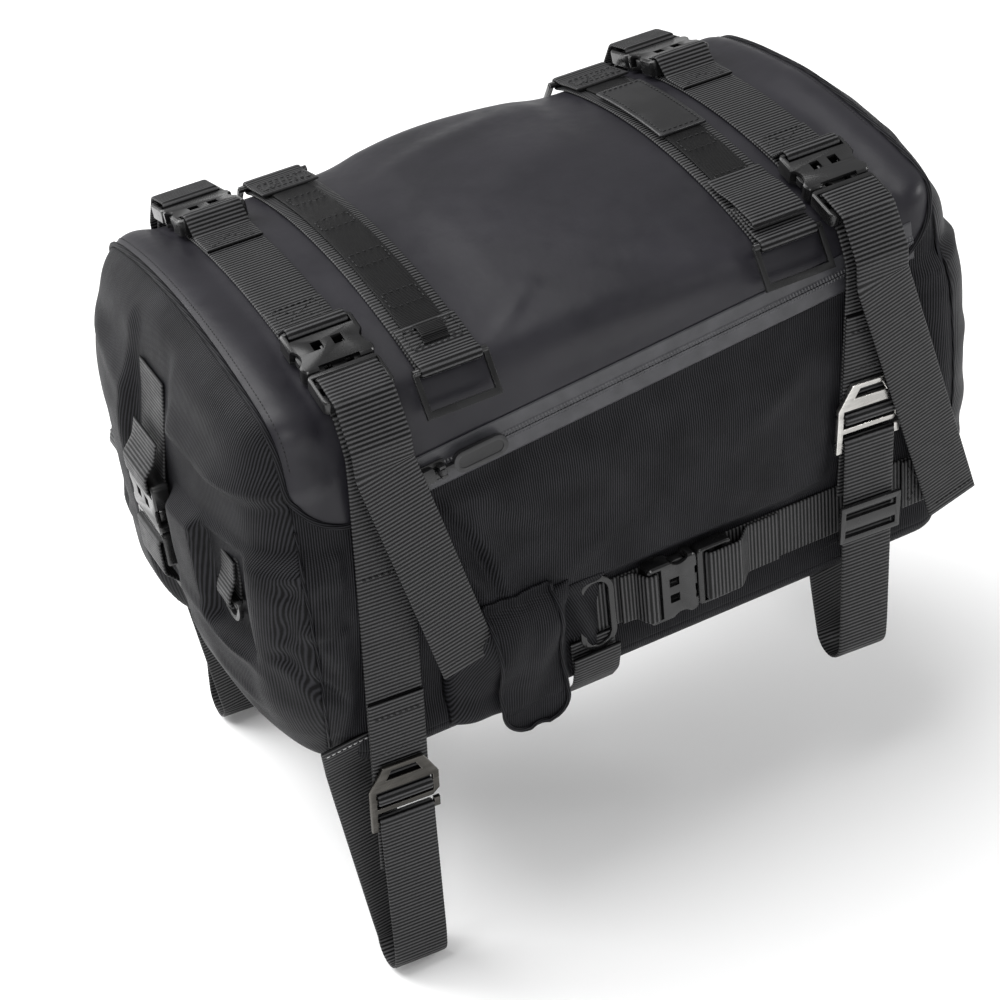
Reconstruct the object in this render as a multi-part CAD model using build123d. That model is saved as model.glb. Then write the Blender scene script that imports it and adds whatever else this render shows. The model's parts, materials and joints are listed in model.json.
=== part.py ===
"""Tail bag: a soft roll-less duffel for the rear seat of a motorcycle.

Millimetres. +X runs along the bag towards the rear of the motorcycle, -Y is the side with the zip, +Z is up.
The origin is the middle of the flat base, on the plane that rests on the seat.
"""
from math import asin, atan2, cos, hypot, pi, sin, tan
import os

from build123d import *

# ---------------------------------------------------------------- driving dimensions
LENGTH = 500.0            # bag body, end to end
HALF_WIDTH = 144.0        # half of the widest part of the body
BULGE_Z = 95.0            # height of the widest part
BASE_HALF = 128.0         # half width of the base before its edge is rounded
CROWN_Z = 282.0           # top of the crown
SHOULDER_HALF = 132.0     # half width where side and crown meet
SHOULDER_Z = 262.0
FLAT_SIDE_Z = 185.0       # above this height the side is a flat strip up to the shoulder
FLAT_SIDE_HALF = 143.0
SHOULDER_R = 24.0
BASE_EDGE_R = 20.0
END_TOP_R = 40.0          # rounding of the two ends, seen from the side
END_BOTTOM_R = 46.0
PLAN_R = 38.0             # rounding of the vertical corners
WALL = 4.0                # coated fabric, foam and lining together
BASE_PAD = 0.6            # extra padding under the flat floor
SEAM_X = 225.0            # seam between the end panels and the rest
BASE_SEAM_Z = 16.0
FAR_SEAM_Z = 215.0
PANEL_GAP = 0.3           # clearance between neighbouring panels
PIPING = 1.8              # how far the piping stands proud of the seam

WEB_WIDTH = 38.0
WEB = 1.8                 # webbing thickness
WEB_GAP = 0.3             # clearance under webbing
STRIP_WIDTH = 40.0        # wider webbing of the two top strips
STRIP_OVERLAY = 26.0
PATCH_WIDTH = 34.0
PATCH = 2.2
PATCH_SPAN = (-9.0, 74.0)
FRONT_STRAP_X = -172.0
REAR_STRAP_X = 168.0
FRONT_STRIP_X = -112.0
REAR_STRIP_X = 118.0

ZIP_MID_X = 5.0
ZIP_MID_Z = 218.0
ZIP_TILT = 5.07           # degrees: the zip climbs towards the rear
ZIP_LENGTH = 412.0
TAPE_HALF = 12.0
TAPE = 1.5
COIL_HALF = 2.8
COIL = 1.6
ZIP_GAP = 0.35            # half of the gap between the two halves
SLIDER_REST = -146.0      # slider's place along the zip, from the zip's middle
MOUTH_X = (-84.0, 82.0)
MOUTH_HINGE_Z = 105.0
MOUTH_GAP = 0.6

BUCKLE_AT = 109.0         # distance of the latch plane from the bag's middle, across the crown
BUCKLE_LIFT = 2.6         # underside of the buckle above the crown
BUCKLE_HALF = 23.0
BUCKLE_H = 10.5
SOCKET_LEN = 36.0
PLUG_LEN = 26.0
LATCH_GAP = 0.4           # gap between socket and plug, and round the plug's parts
BAR = 3.5

HOOK_Z = {"front": -17.0, "rear": 131.0}
TUBE_Z = {"front": -150.0, "rear": -48.0}
TUBE_R = 12.7             # frame tube that a mount strap goes round
TUBE_LEAD = 12.0         # straight run of the strap before its turn round the tube
TUBE_Y = -147.0
HOOK_T = 3.0
HOOK_HALF = 24.0
TAIL_END = {"front": 73.0, "rear": 34.0}
TAIL_LEAN = {"front": 12.0, "rear": 16.0}
STRAP_LEAN = 4.0          # degrees: the hanging straps are pulled towards the front
ANCHOR_LEAN = -5.5        # the run from the frame tube back up to the bag leans the other way
HANG_Z = 233.0            # height at which the straps leave the shoulder

RING_ROD = 2.2
RING_LENGTH = 28.0
RING_REST = 58.0          # degrees below level at which the top rings lie
RING_S = 130.0            # place of the ring's bar along the crown

LOW_Z = 57.0              # middle of the low strap
LOW_FACE_Y = -(HALF_WIDTH - 1.7)  # the side has curved in this far behind the low strap
LOW_LATCH_X = 28.0
LOW_SPAN = (-58.0, 216.0)
POCKET_X = (-149.0, -62.0)
POCKET_Z = (12.0, 98.0)
POCKET_T = 8.0
END_BOW = 22.0            # how far the end straps bow out
END_LATCH_Z = 138.0
D_RING_Y = (-88.0, 98.0)
D_RING_Z = 132.0

CROWN_R = (SHOULDER_HALF ** 2 + (CROWN_Z - SHOULDER_Z) ** 2) / (2 * (CROWN_Z - SHOULDER_Z))
LEAN = atan2(FLAT_SIDE_HALF - SHOULDER_HALF, SHOULDER_Z - FLAT_SIDE_Z)
BIG = 1200.0


def save(name, shape):
    """Write one node as a STEP file."""
    export_step(shape, f"parts/{name}.step")


# ---------------------------------------------------------------- small builders
def box(x, y, z):
    """Axis-parallel box from three (low, high) pairs."""
    size = [high - low for low, high in (x, y, z)]
    middle = [(high + low) / 2 for low, high in (x, y, z)]
    return Pos(*middle) * Box(*size)


def rounded(points, radius):
    """Open polyline whose corners are replaced by short arcs of the given radius."""
    out = [points[0]]
    for before, here, after in zip(points, points[1:], points[2:]):
        a = (before[0] - here[0], before[1] - here[1])
        b = (after[0] - here[0], after[1] - here[1])
        la, lb = hypot(*a), hypot(*b)
        turn = pi - abs(atan2(a[0] * b[1] - a[1] * b[0], a[0] * b[0] + a[1] * b[1]))
        if turn < 0.12:
            out.append(here)
            continue
        cut = min(radius * tan(turn / 2), 0.45 * la, 0.45 * lb)
        steps = 5
        for i in range(steps + 1):
            t = i / steps
            p = (here[0] + a[0] / la * cut, here[1] + a[1] / la * cut)
            q = (here[0] + b[0] / lb * cut, here[1] + b[1] / lb * cut)
            out.append(tuple((1 - t) ** 2 * p[k] + 2 * t * (1 - t) * here[k] + t * t * q[k] for k in (0, 1)))
    out.append(points[-1])
    return out


def ribbon(points, width, plane, thickness=WEB, radius=2.0):
    """Flat webbing: a path of the given thickness in a plane, extruded by its width on both sides."""
    path = rounded(points, radius)
    left, right = [], []
    for i, (px, py) in enumerate(path):
        ax, ay = path[max(i - 1, 0)]
        bx, by = path[min(i + 1, len(path) - 1)]
        d1 = (px - ax, py - ay) if i else (bx - px, by - py)
        d2 = (bx - px, by - py) if i < len(path) - 1 else d1
        u1, u2 = hypot(*d1), hypot(*d2)
        nx = -(d1[1] / u1 + d2[1] / u2)
        ny = d1[0] / u1 + d2[0] / u2
        n = hypot(nx, ny)
        nx, ny = nx / n, ny / n
        half = thickness / 2 / max(0.5, -nx * d1[1] / u1 + ny * d1[0] / u1)
        left.append((px + nx * half, py + ny * half))
        right.append((px - nx * half, py - ny * half))
    face = make_face(Polyline(*left, *reversed(right), close=True))
    return plane * extrude(face, width / 2, both=True)


def yz_plane(x):
    """Plane whose own x is +Y and y is +Z, at a station along the bag."""
    return Plane(origin=(x, 0, 0), x_dir=(0, 1, 0), z_dir=(1, 0, 0))


def xz_plane(y):
    """Plane whose own x is +X and y is +Z."""
    return Plane(origin=(0, y, 0), x_dir=(1, 0, 0), z_dir=(0, -1, 0))


def crown_point(s, h):
    """(y, z) of a point s along the crown towards the near side, h above it."""
    a = s / CROWN_R
    return (-(CROWN_R + h) * sin(a), CROWN_Z - CROWN_R + (CROWN_R + h) * cos(a))


def crown_run(s0, s1, h, steps=16):
    """Points along the crown at a constant height."""
    return [crown_point(s0 + (s1 - s0) * i / steps, h) for i in range(steps + 1)]


def mirror_y(shape):
    """The same piece on the far side."""
    return mirror(shape, about=Plane.XZ)


def mirror_x(shape):
    """The same piece at the other end."""
    return mirror(shape, about=Plane.YZ)


# ---------------------------------------------------------------- body
def across_face(out):
    """Cross-section of the stuffed bag, moved outwards by out: flat base, bulging sides, low crown."""
    half_base, half_wide = BASE_HALF + out, HALF_WIDTH + out
    half_flat, half_top = FLAT_SIDE_HALF + out, SHOULDER_HALF + out
    top = SHOULDER_Z + out
    right = ThreePointArc((half_base, -out), (half_wide, BULGE_Z), (half_flat, FLAT_SIDE_Z))
    left = ThreePointArc((-half_flat, FLAT_SIDE_Z), (-half_wide, BULGE_Z), (-half_base, -out))
    outline = [
        Line((-half_base, -out), (half_base, -out)),
        right,
        Line((half_flat, FLAT_SIDE_Z), (half_top, top)),
        ThreePointArc((half_top, top), (0, CROWN_Z + out), (-half_top, top)),
        Line((-half_top, top), (-half_flat, FLAT_SIDE_Z)),
        left,
    ]
    face = make_face(outline)
    base_corners = [v for v in face.vertices() if v.Y < BASE_EDGE_R]
    face = fillet(base_corners, BASE_EDGE_R + out)
    shoulders = [v for v in face.vertices() if v.Y > SHOULDER_Z - 8]
    return fillet(shoulders, SHOULDER_R + out)


def body_solid(out=0.0):
    """The whole bag as one solid: the cross-section, trimmed by the rounded side view and plan."""
    across = yz_plane(0) * extrude(across_face(out), LENGTH, both=True)
    side = Rectangle(LENGTH + 2 * out, CROWN_Z + 2 * out)
    side = fillet([v for v in side.vertices() if v.Y > 0], END_TOP_R + out)
    side = fillet([v for v in side.vertices() if v.Y < -CROWN_Z / 2 + END_BOTTOM_R / 2], END_BOTTOM_R + out)
    side = Pos(0, CROWN_Z / 2, 0) * side
    side = xz_plane(0) * extrude(side, BIG / 2, both=True)
    plan = RectangleRounded(LENGTH + 2 * out, 2 * (HALF_WIDTH + out), PLAN_R + out)
    plan = extrude(plan, BIG / 2, both=True)
    return across & side & plan


def zip_plane():
    """Plane on the flat strip of the near side: own x runs along the zip, y up the side, z outwards."""
    y = -(SHOULDER_HALF + (SHOULDER_Z - ZIP_MID_Z) * tan(LEAN))
    along = (cos(ZIP_TILT * pi / 180), sin(ZIP_TILT * pi / 180) * sin(LEAN), sin(ZIP_TILT * pi / 180) * cos(LEAN))
    return Plane(origin=(ZIP_MID_X, y, ZIP_MID_Z), x_dir=along, z_dir=(0, -cos(LEAN), sin(LEAN)))


OUTER = body_solid()
INSIDE = body_solid(-WALL) & box((-BIG, BIG), (-BIG, BIG), (WALL + BASE_PAD, BIG))
SHELL = OUTER - INSIDE
SKIN = OUTER - body_solid(-TAPE)
ZIP = zip_plane()
MIDDLE = box((-SEAM_X, SEAM_X), (-BIG, BIG), (-BIG, BIG))
NEAR = box((-BIG, BIG), (-BIG, 0), (-BIG, BIG))


def zip_band(low, high):
    """Slab on the near side between two distances from the zip's line, measured up the side."""
    slab = Box(BIG, high - low, BIG)
    return ZIP * (Pos(0, (high + low) / 2, 0) * slab)


def make_body():
    """The sewn panels, the hinged mouth and the piping."""
    tube = SHELL & MIDDLE
    below_zip = zip_band(-BIG / 2, -TAPE_HALF - PANEL_GAP)
    above_zip = zip_band(TAPE_HALF + PANEL_GAP, BIG / 2)
    save("base_panel", tube & box((-BIG, BIG), (-BIG, BIG), (-1, BASE_SEAM_Z)))
    above_base = box((-BIG, BIG), (-BIG, BIG), (BASE_SEAM_Z + PANEL_GAP, BIG))
    side = tube & NEAR & below_zip & above_base
    mouth = box(MOUTH_X, (-BIG, 0), (MOUTH_HINGE_Z, BIG))
    clear = MOUTH_GAP
    hole = box((MOUTH_X[0] - clear, MOUTH_X[1] + clear), (-BIG, 0), (MOUTH_HINGE_Z - clear, BIG))
    save("near_side_panel", side - hole)
    save("mouth_flap", side & mouth)
    far_low = box((-BIG, BIG), (0, BIG), (BASE_SEAM_Z + PANEL_GAP, FAR_SEAM_Z - PANEL_GAP))
    save("far_side_panel", tube & far_low)
    far_top = tube & box((-BIG, BIG), (0, BIG), (FAR_SEAM_Z, BIG))
    save("top_panel", far_top + (tube & NEAR & above_zip))
    end_x = SEAM_X + PANEL_GAP
    save("front_end_panel", SHELL & box((-BIG, -end_x), (-BIG, BIG), (-BIG, BIG)))
    save("rear_end_panel", SHELL & box((end_x, BIG), (-BIG, BIG), (-BIG, BIG)))
    cord = body_solid(PIPING) - body_solid(PANEL_GAP)
    above = box((-BIG, BIG), (-BIG, BIG), (END_BOTTOM_R, BIG))
    seam = box((SEAM_X - PIPING, SEAM_X + PIPING), (-BIG, BIG), (-BIG, BIG))
    rear = cord & seam & above
    save("seam_piping", Compound(children=[rear, mirror_x(rear)]))
    tape_up = SKIN & MIDDLE & NEAR & zip_band(ZIP_GAP, TAPE_HALF)
    tape_low = SKIN & MIDDLE & NEAR & zip_band(-TAPE_HALF, -ZIP_GAP)
    coil_up = ZIP * box((-ZIP_LENGTH / 2, ZIP_LENGTH / 2), (ZIP_GAP, COIL_HALF), (-TAPE, COIL))
    coil_low = ZIP * box((-ZIP_LENGTH / 2, ZIP_LENGTH / 2), (-COIL_HALF, -ZIP_GAP), (-TAPE, COIL))
    save("zip_upper_half", tape_up + coil_up)
    lower = tape_low + coil_low
    save("zip_flap_half", lower & mouth)
    save("zip_lower_half", lower - hole)


def make_slider():
    """Slider that straddles the coil, and its rubber puller on a cross pin."""
    place = ZIP * Pos(SLIDER_REST, 0, 0)
    low, plate = COIL + 0.6, COIL + 1.5
    pin_p, pin_r, pin_rad, ear = 8.0, 6.2, 1.0, 4.0
    slider = box((-11, 11), (-6, 6), (low, plate))
    slider += fillet(box((-10, 3.2), (-4.5, 4.5), (low, 6.6)).edges().filter_by(Axis.Z), 2)
    cheek = box((pin_p - 2, pin_p + 2), (2.3, ear), (low, pin_r + 2))
    slider += cheek
    slider += mirror_y(cheek)
    slider += Pos(pin_p, 0, pin_r) * Rot(90, 0, 0) * Cylinder(pin_rad, 2 * ear)
    save("zip_slider", place * slider)
    eye = Pos(pin_p, 0, pin_r) * Rot(90, 0, 0) * Cylinder(2.6, 3.6)
    neck = box((pin_p, pin_p + 10), (-1.8, 1.8), (pin_r - 1.4, pin_r + 1.4))
    grip = Pos(pin_p + 25.5, 0, pin_r) * extrude(SlotOverall(36, 13.5), 1.5, both=True)
    grip -= Pos(pin_p + 25.5, 0, pin_r + 1.1) * extrude(SlotOverall(30, 8), 1)
    hole = Pos(pin_p, 0, pin_r) * Rot(90, 0, 0) * Cylinder(pin_rad + 0.2, 10)
    save("zip_puller", place * (eye + neck + grip - hole))


# ---------------------------------------------------------------- side-release buckle
# Own frame: x from the socket to the plug with the latch plane at 0, y across, z away from the bag.
LOW_W = BUCKLE_LIFT
TOP_W = BUCKLE_LIFT + BUCKLE_H
CAVITY_W = (LOW_W + 2.2, TOP_W - 2.2)
ARM_W = (CAVITY_W[0] + 0.6, CAVITY_W[1] - 0.6)
SLOT_U = -29.5            # middle of the socket's webbing slot
PLUG_SLOT_U = 7.0         # middle of the plug's first webbing slot
OVER_W = TOP_W + 0.4 + WEB / 2
UNDER_W = WEB_GAP + WEB / 2


def socket_body():
    """Female half: a hollow shell with a webbing bar, two small windows and a scalloped opening each side."""
    plan = RectangleRounded(SOCKET_LEN, 2 * BUCKLE_HALF, 4)
    shell = Pos(-SOCKET_LEN / 2, 0, LOW_W) * extrude(plan, BUCKLE_H)
    shell = chamfer(shell.faces().sort_by(Axis.Z)[-1].edges(), 1.2)
    shell -= box((-23, 1), (-19, 19), CAVITY_W)
    shell -= box((-SOCKET_LEN + BAR, -26.5), (-20, 20), (-1, TOP_W + 1))
    shell -= box((-20, -6), (-30, 30), CAVITY_W)
    scallop = Pos(-13, BUCKLE_HALF + 4, TOP_W / 2) * Cylinder(8.0, 40)
    shell -= scallop
    shell -= mirror_y(scallop)
    window = Pos(-17.5, 6.5, TOP_W) * Box(7, 6.5, 8)
    shell -= window
    shell -= mirror_y(window)
    brow = Pos(0, 0, TOP_W) * Box(5, 26, 9)
    return shell - brow


def plug_body():
    """Male half without its two spring arms: a ladder frame and a guide tongue."""
    plan = Pos(LATCH_GAP + PLUG_LEN / 2, 0, 0) * RectangleRounded(PLUG_LEN, 2 * BUCKLE_HALF - 1, 4)
    frame = Pos(0, 0, LOW_W + 0.6) * extrude(plan, BUCKLE_H - 1.5)
    frame = chamfer(frame.faces().sort_by(Axis.Z)[-1].edges(), 1.0)
    frame -= box((PLUG_SLOT_U - 2.2, PLUG_SLOT_U + 2.2), (-20, 20), (-1, TOP_W + 1))
    frame -= box((PLUG_SLOT_U + 6, PLUG_SLOT_U + 12), (-20, 20), (-1, TOP_W + 1))
    tongue = box((-19, LATCH_GAP + 1), (-4.6, 4.6), ARM_W)
    return frame + tongue


def plug_prong():
    """One spring arm of the plug, on the +y side, with the pad that a finger presses."""
    arm = box((-18, -LATCH_GAP), (9.5, 13), ARM_W)
    pad = Pos(-13, 17.3, 0) * extrude(SlotOverall(11, 8), ARM_W[1] - ARM_W[0])
    pad = Pos(0, 0, ARM_W[0]) * pad
    bridge = box((-15, -9), (12, 16), ARM_W)
    return arm + pad + bridge


def crown_frame(x):
    """Buckle frame on the near side of the crown, its x pointing outwards and down."""
    y, z = crown_point(CROWN_R * asin(BUCKLE_AT / CROWN_R), 0)
    a = asin(BUCKLE_AT / CROWN_R)
    return Plane(origin=(x, y, z), x_dir=(0, -cos(a), -sin(a)), z_dir=(0, -sin(a), cos(a)))


def crown_local(u, w):
    """(y, z) of a point given in the buckle frame."""
    a = asin(BUCKLE_AT / CROWN_R)
    y, z = crown_point(CROWN_R * a, 0)
    return (y - u * cos(a) - w * sin(a), z - u * sin(a) + w * cos(a))


def place_buckle(name, frame, far=False):
    """Write the four pieces of one buckle."""
    pieces = {
        "socket": socket_body(),
        "plug": plug_body(),
        "prong_a": plug_prong(),
        "prong_b": mirror_y(plug_prong()),
    }
    for part, shape in pieces.items():
        shape = frame * shape
        save(f"{name}_{part}", mirror_y(shape) if far else shape)


# ---------------------------------------------------------------- webbing over the bag
def top_web(x):
    """Webbing across the crown, looped round the bar of the socket on each side."""
    s_end = CROWN_R * asin(BUCKLE_AT / CROWN_R) + SLOT_U
    loop = [
        crown_point(s_end - 34, UNDER_W + WEB + 0.3),
        crown_point(s_end - 16, UNDER_W + WEB + 0.6),
        crown_local(SLOT_U - 8, OVER_W),
        crown_local(SLOT_U, OVER_W),
        crown_point(s_end, UNDER_W),
    ]
    other = [(-y, z) for y, z in reversed(loop)]
    path = loop + crown_run(s_end - 8, -s_end + 8, UNDER_W) + other
    return ribbon(path, WEB_WIDTH, yz_plane(x), radius=1.6)


SIDE_Y = -(HALF_WIDTH + WEB_GAP + 1 + WEB / 2)
RETURN_Y = SIDE_Y - WEB - 0.3
PLATE_Y = RETURN_Y - WEB / 2 - WEB_GAP - HOOK_T / 2 - 0.4
FRONT_Y = PLATE_Y - HOOK_T / 2 - 0.4 - WEB / 2
TAIL_Y = FRONT_Y - WEB - 1.5
HOOK_BAR = 4.0
BAR_CLEAR = HOOK_BAR / 2 + 0.4 + WEB / 2


def leaned(shape, x, z, angle):
    """Turn a hanging piece about the bag's width, at a point given by x and z."""
    return Pos(x, 0, z) * Rot(0, angle, 0) * Pos(-x, 0, -z) * shape


def side_strap(x, hook_z, tail_end, lean):
    """Side strap from the hook's bar up over the shoulder, through the plug, and down again as a loose tail."""
    hanging = [
        (RETURN_Y, hook_z + 74),
        (RETURN_Y, hook_z + BAR_CLEAR),
        (FRONT_Y, hook_z + BAR_CLEAR),
        (FRONT_Y, hook_z - BAR_CLEAR),
        (SIDE_Y, hook_z - BAR_CLEAR),
        (SIDE_Y, HANG_Z + 5),
    ]
    over = [
        (SIDE_Y, HANG_Z - 5),
        (SIDE_Y, HANG_Z + 8),
        (SIDE_Y + 3.4, SHOULDER_Z - 12),
        crown_local(PLUG_LEN + 1, UNDER_W),
        crown_local(PLUG_SLOT_U, UNDER_W),
        crown_local(PLUG_SLOT_U, OVER_W),
        crown_local(PLUG_LEN + 4, OVER_W),
        (TAIL_Y, HANG_Z + 14),
        (TAIL_Y, HANG_Z - 6),
    ]
    strap = ribbon(over, WEB_WIDTH, yz_plane(x), radius=1.4)
    strap += leaned(ribbon(hanging, WEB_WIDTH, yz_plane(x), radius=1.4), x, HANG_Z, STRAP_LEAN)
    tail = box((-WEB_WIDTH / 2, WEB_WIDTH / 2), (-WEB / 2, WEB / 2), (tail_end - HANG_Z, 4))
    return strap + Pos(x, TAIL_Y, HANG_Z) * Rot(0, -lean, 0) * tail


def hook(x, hook_z):
    """Flat steel hook: finger slot, webbing bar between two slots, frame bar, and an open bottom bar."""
    h = HOOK_HALF
    outline = Polyline(
        (-h, -25), (-h, 8), (-14, 25), (14, 25), (h, 8), (h, -6), (19, -10.5),
        (-h + 4.5, -10.5), (-h + 4.5, -17), (19.6, -17), (19.6, -13.6), (h, -13.6), (h, -21),
        (-h + 4.5, -21), (-h + 4.5, -25), close=True,
    )
    plate = extrude(make_face(outline), HOOK_T / 2, both=True)
    slot = WEB + 2.7
    plate -= Pos(0, HOOK_BAR / 2 + slot / 2, 0) * Box(2 * h - 9, slot, 9)
    plate -= Pos(0, -HOOK_BAR / 2 - slot / 2, 0) * Box(2 * h - 9, slot, 9)
    plate -= Pos(0, 18, 0) * extrude(Trapezoid(24, 6.5, 60), 5, both=True)
    faces = plate.faces().filter_by(Axis.Z).sort_by(Axis.Z)
    plate = chamfer(faces[-1].edges(), 0.4)
    place = Plane(origin=(x, PLATE_Y, hook_z), x_dir=(1, 0, 0), z_dir=(0, -1, 0))
    return leaned(place * plate, x, HANG_Z, STRAP_LEAN)


def mount_strap(x, hook_z, tube_z):
    """Strap sewn to the bag's lower edge, down round the frame tube and up to the hook's bottom bar."""
    bar_z = hook_z - 19
    reach = TUBE_R + WEB / 2
    path = [
        (RETURN_Y, bar_z - 42),
        (RETURN_Y, bar_z + BAR_CLEAR),
        (FRONT_Y, bar_z + BAR_CLEAR),
        (FRONT_Y, bar_z - BAR_CLEAR - 2),
    ]
    path += [(TUBE_Y - reach, tube_z + TUBE_LEAD), (TUBE_Y - reach, tube_z)]
    outer = ribbon(path, WEB_WIDTH, yz_plane(x), radius=1.4)
    turn = Circle(TUBE_R + WEB) - Circle(TUBE_R)
    turn &= Pos(0, -BIG / 2, 0) * Rectangle(BIG, BIG)
    outer += yz_plane(x) * (Pos(TUBE_Y, tube_z, 0) * extrude(turn, WEB_WIDTH / 2, both=True))
    outer = leaned(outer, x, HANG_Z, STRAP_LEAN)
    tube_x = x - (HANG_Z - tube_z) * tan(STRAP_LEAN * pi / 180)
    rise = [(TUBE_Y + reach, tube_z - 2), (TUBE_Y + reach, -8), (-BASE_HALF - 6.0, 8), (-BASE_HALF - 10.2, 30)]
    inner = ribbon(rise, WEB_WIDTH, yz_plane(tube_x), radius=1.4)
    return outer + leaned(inner, tube_x, tube_z, ANCHOR_LEAN)


def make_straps():
    """Everything on the two main straps, near side and far side."""
    for end, x in (("front", FRONT_STRAP_X), ("rear", REAR_STRAP_X)):
        save(f"{end}_top_web", top_web(x))
        for side in ("near", "far"):
            far = side == "far"
            name = f"{end}_{side}"
            place_buckle(name, crown_frame(x), far)
            pieces = {
                "side_strap": side_strap(x, HOOK_Z[end], TAIL_END[end], TAIL_LEAN[end]),
                "hook": hook(x, HOOK_Z[end]),
                "mount_strap": mount_strap(x, HOOK_Z[end], TUBE_Z[end]),
            }
            for part, shape in pieces.items():
                save(f"{name}_{part}", mirror_y(shape) if far else shape)


def triglide(x):
    """Three-bar slide on the rear mount strap."""
    z = 54.0
    frame = Box(46, 28, 2.6)
    frame -= Pos(0, 7.2, 0) * Box(39, 6, 9)
    frame -= Pos(0, -7.2, 0) * Box(39, 6, 9)
    frame = fillet(frame.edges().filter_by(Axis.Z).group_by(SortBy.LENGTH)[0], 0.8)
    top = HOOK_Z["rear"] - 19 - BAR_CLEAR - 2
    t = (top - z) / (top - TUBE_Z["rear"] - TUBE_LEAD)
    y = FRONT_Y + (TUBE_Y - TUBE_R - WEB / 2 - FRONT_Y) * t
    y -= WEB / 2 + 2.2
    place = Plane(origin=(x, y, z), x_dir=(1, 0, 0), z_dir=(0, -1, 0))
    return leaned(place * frame, x, HANG_Z, STRAP_LEAN)


# ---------------------------------------------------------------- top strips
LOOP_R = RING_ROD + 0.4 + WEB / 2
RING_H = 3.8


def strip(x):
    """Top strip: webbing across the crown, folded round a ring's bar at each end, and a narrower strip on it."""
    y, z = crown_point(RING_S, RING_H)
    a = RING_S / CROWN_R
    turn = []
    for i in range(9):
        b = pi / 2 - a - pi * i / 8
        turn.append((y - LOOP_R * cos(b), z + LOOP_R * sin(b)))
    back = crown_run(RING_S - 34, RING_S - 8, UNDER_W + 2 * WEB + 0.4, 4)
    half = back + turn
    path = half + crown_run(RING_S - 12, -RING_S + 12, UNDER_W) + [(-p, q) for p, q in reversed(half)]
    base = ribbon(path, STRIP_WIDTH, yz_plane(x), radius=1.2)
    overlay = ribbon(crown_run(82, -82, UNDER_W + WEB + 0.2), STRIP_OVERLAY, yz_plane(x))
    return Compound(children=[base, overlay])


def strip_ring(x, far=False):
    """Rectangular ring: a round bar in the fold of the strip and a flat frame."""
    half = STRIP_WIDTH / 2 + 1
    frame = box((0, RING_LENGTH), (-half - 3.5, half + 3.5), (-1.5, 1.5))
    frame -= box((-1, RING_LENGTH - 4.5), (-half, half), (-3, 3))
    rod = Rot(90, 0, 0) * Cylinder(RING_ROD, 2 * half + 6)
    y, z = crown_point(RING_S, RING_H)
    d = RING_REST * pi / 180
    place = Plane(origin=(x, y, z), x_dir=(0, -cos(d), -sin(d)), z_dir=(0, -sin(d), cos(d)))
    ring = place * (frame + rod)
    return mirror_y(ring) if far else ring


def patch():
    """Rubber patch sewn on the rear strip."""
    height = UNDER_W + 1.5 * WEB + 0.4 + PATCH / 2 + 0.2
    run = crown_run(-PATCH_SPAN[1], -PATCH_SPAN[0], height, 8)
    return ribbon(run, PATCH_WIDTH, yz_plane(REAR_STRIP_X), thickness=PATCH)


def make_strips():
    """The two top strips, their rings and the patch."""
    save("front_strip", strip(FRONT_STRIP_X))
    save("rear_strip", strip(REAR_STRIP_X))
    save("front_strip_ring", strip_ring(FRONT_STRIP_X))
    save("rear_strip_ring", strip_ring(REAR_STRIP_X))
    far = [strip_ring(FRONT_STRIP_X, True), strip_ring(REAR_STRIP_X, True)]
    save("far_strip_rings", Compound(children=far))
    save("strip_patch", patch())


# ---------------------------------------------------------------- low strap and pocket on the near side
def low_frame():
    """Buckle frame of the low strap, on the near side, its x pointing to the rear."""
    origin = (LOW_LATCH_X, LOW_FACE_Y, LOW_Z)
    return Plane(origin=origin, x_dir=(1, 0, 0), z_dir=(0, -1, 0))


def low_strap():
    """Low strap on both sides of its buckle, with the tab under its ring."""
    plane = Plane(origin=(LOW_LATCH_X, LOW_FACE_Y, LOW_Z), x_dir=(1, 0, 0), z_dir=(0, 0, 1))
    start, end = LOW_SPAN[0] - LOW_LATCH_X, LOW_SPAN[1] - LOW_LATCH_X
    left = [
        (SLOT_U - 22, UNDER_W + WEB + 0.3),
        (SLOT_U - 12, UNDER_W + WEB + 0.6),
        (SLOT_U - 7, OVER_W),
        (SLOT_U, OVER_W),
        (SLOT_U, UNDER_W),
        (start, UNDER_W),
    ]
    right = [
        (PLUG_LEN + 16, UNDER_W + WEB + 0.3),
        (PLUG_LEN + 5, OVER_W),
        (PLUG_SLOT_U, OVER_W),
        (PLUG_SLOT_U, UNDER_W),
        (end, UNDER_W),
        (end, UNDER_W + WEB + 1.7),
        (end - 24, UNDER_W + WEB + 1.7),
    ]
    halves = []
    for path in (left, right):
        outward = [(x, -w) for x, w in path]
        halves.append(ribbon(outward, WEB_WIDTH, plane, radius=1.6))
    tab_y = LOW_FACE_Y - 5.4
    tab = [(tab_y, LOW_Z - 29.8), (tab_y, 20), (-BASE_HALF - 11, 8), (-BASE_HALF - 7.0, -2)]
    halves.append(ribbon(tab, WEB_WIDTH - 4, yz_plane(-46)))
    return Compound(children=halves)


def low_ring():
    """Oval ring that the low strap and its tab meet at."""
    ring = extrude(SlotOverall(58, 26), 1.5, both=True) - extrude(SlotOverall(50, 18), 3, both=True)
    place = Plane(origin=(-42, LOW_FACE_Y - 4.8, LOW_Z), x_dir=(0, 0, 1), z_dir=(0, -1, 0))
    return place * ring


def pocket():
    """Small stuffed pocket at the front of the near side, below the mouth."""
    pad = body_solid(POCKET_T) - body_solid(WEB_GAP)
    pad &= box(POCKET_X, (-BIG, 0), POCKET_Z)
    return pad


# ---------------------------------------------------------------- ends
def end_local(u, w):
    """(x, z) of a point in the frame of the rear end's buckle, whose x points down."""
    return (LENGTH / 2 + END_BOW - 12 + w, END_LATCH_Z - u)


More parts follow.
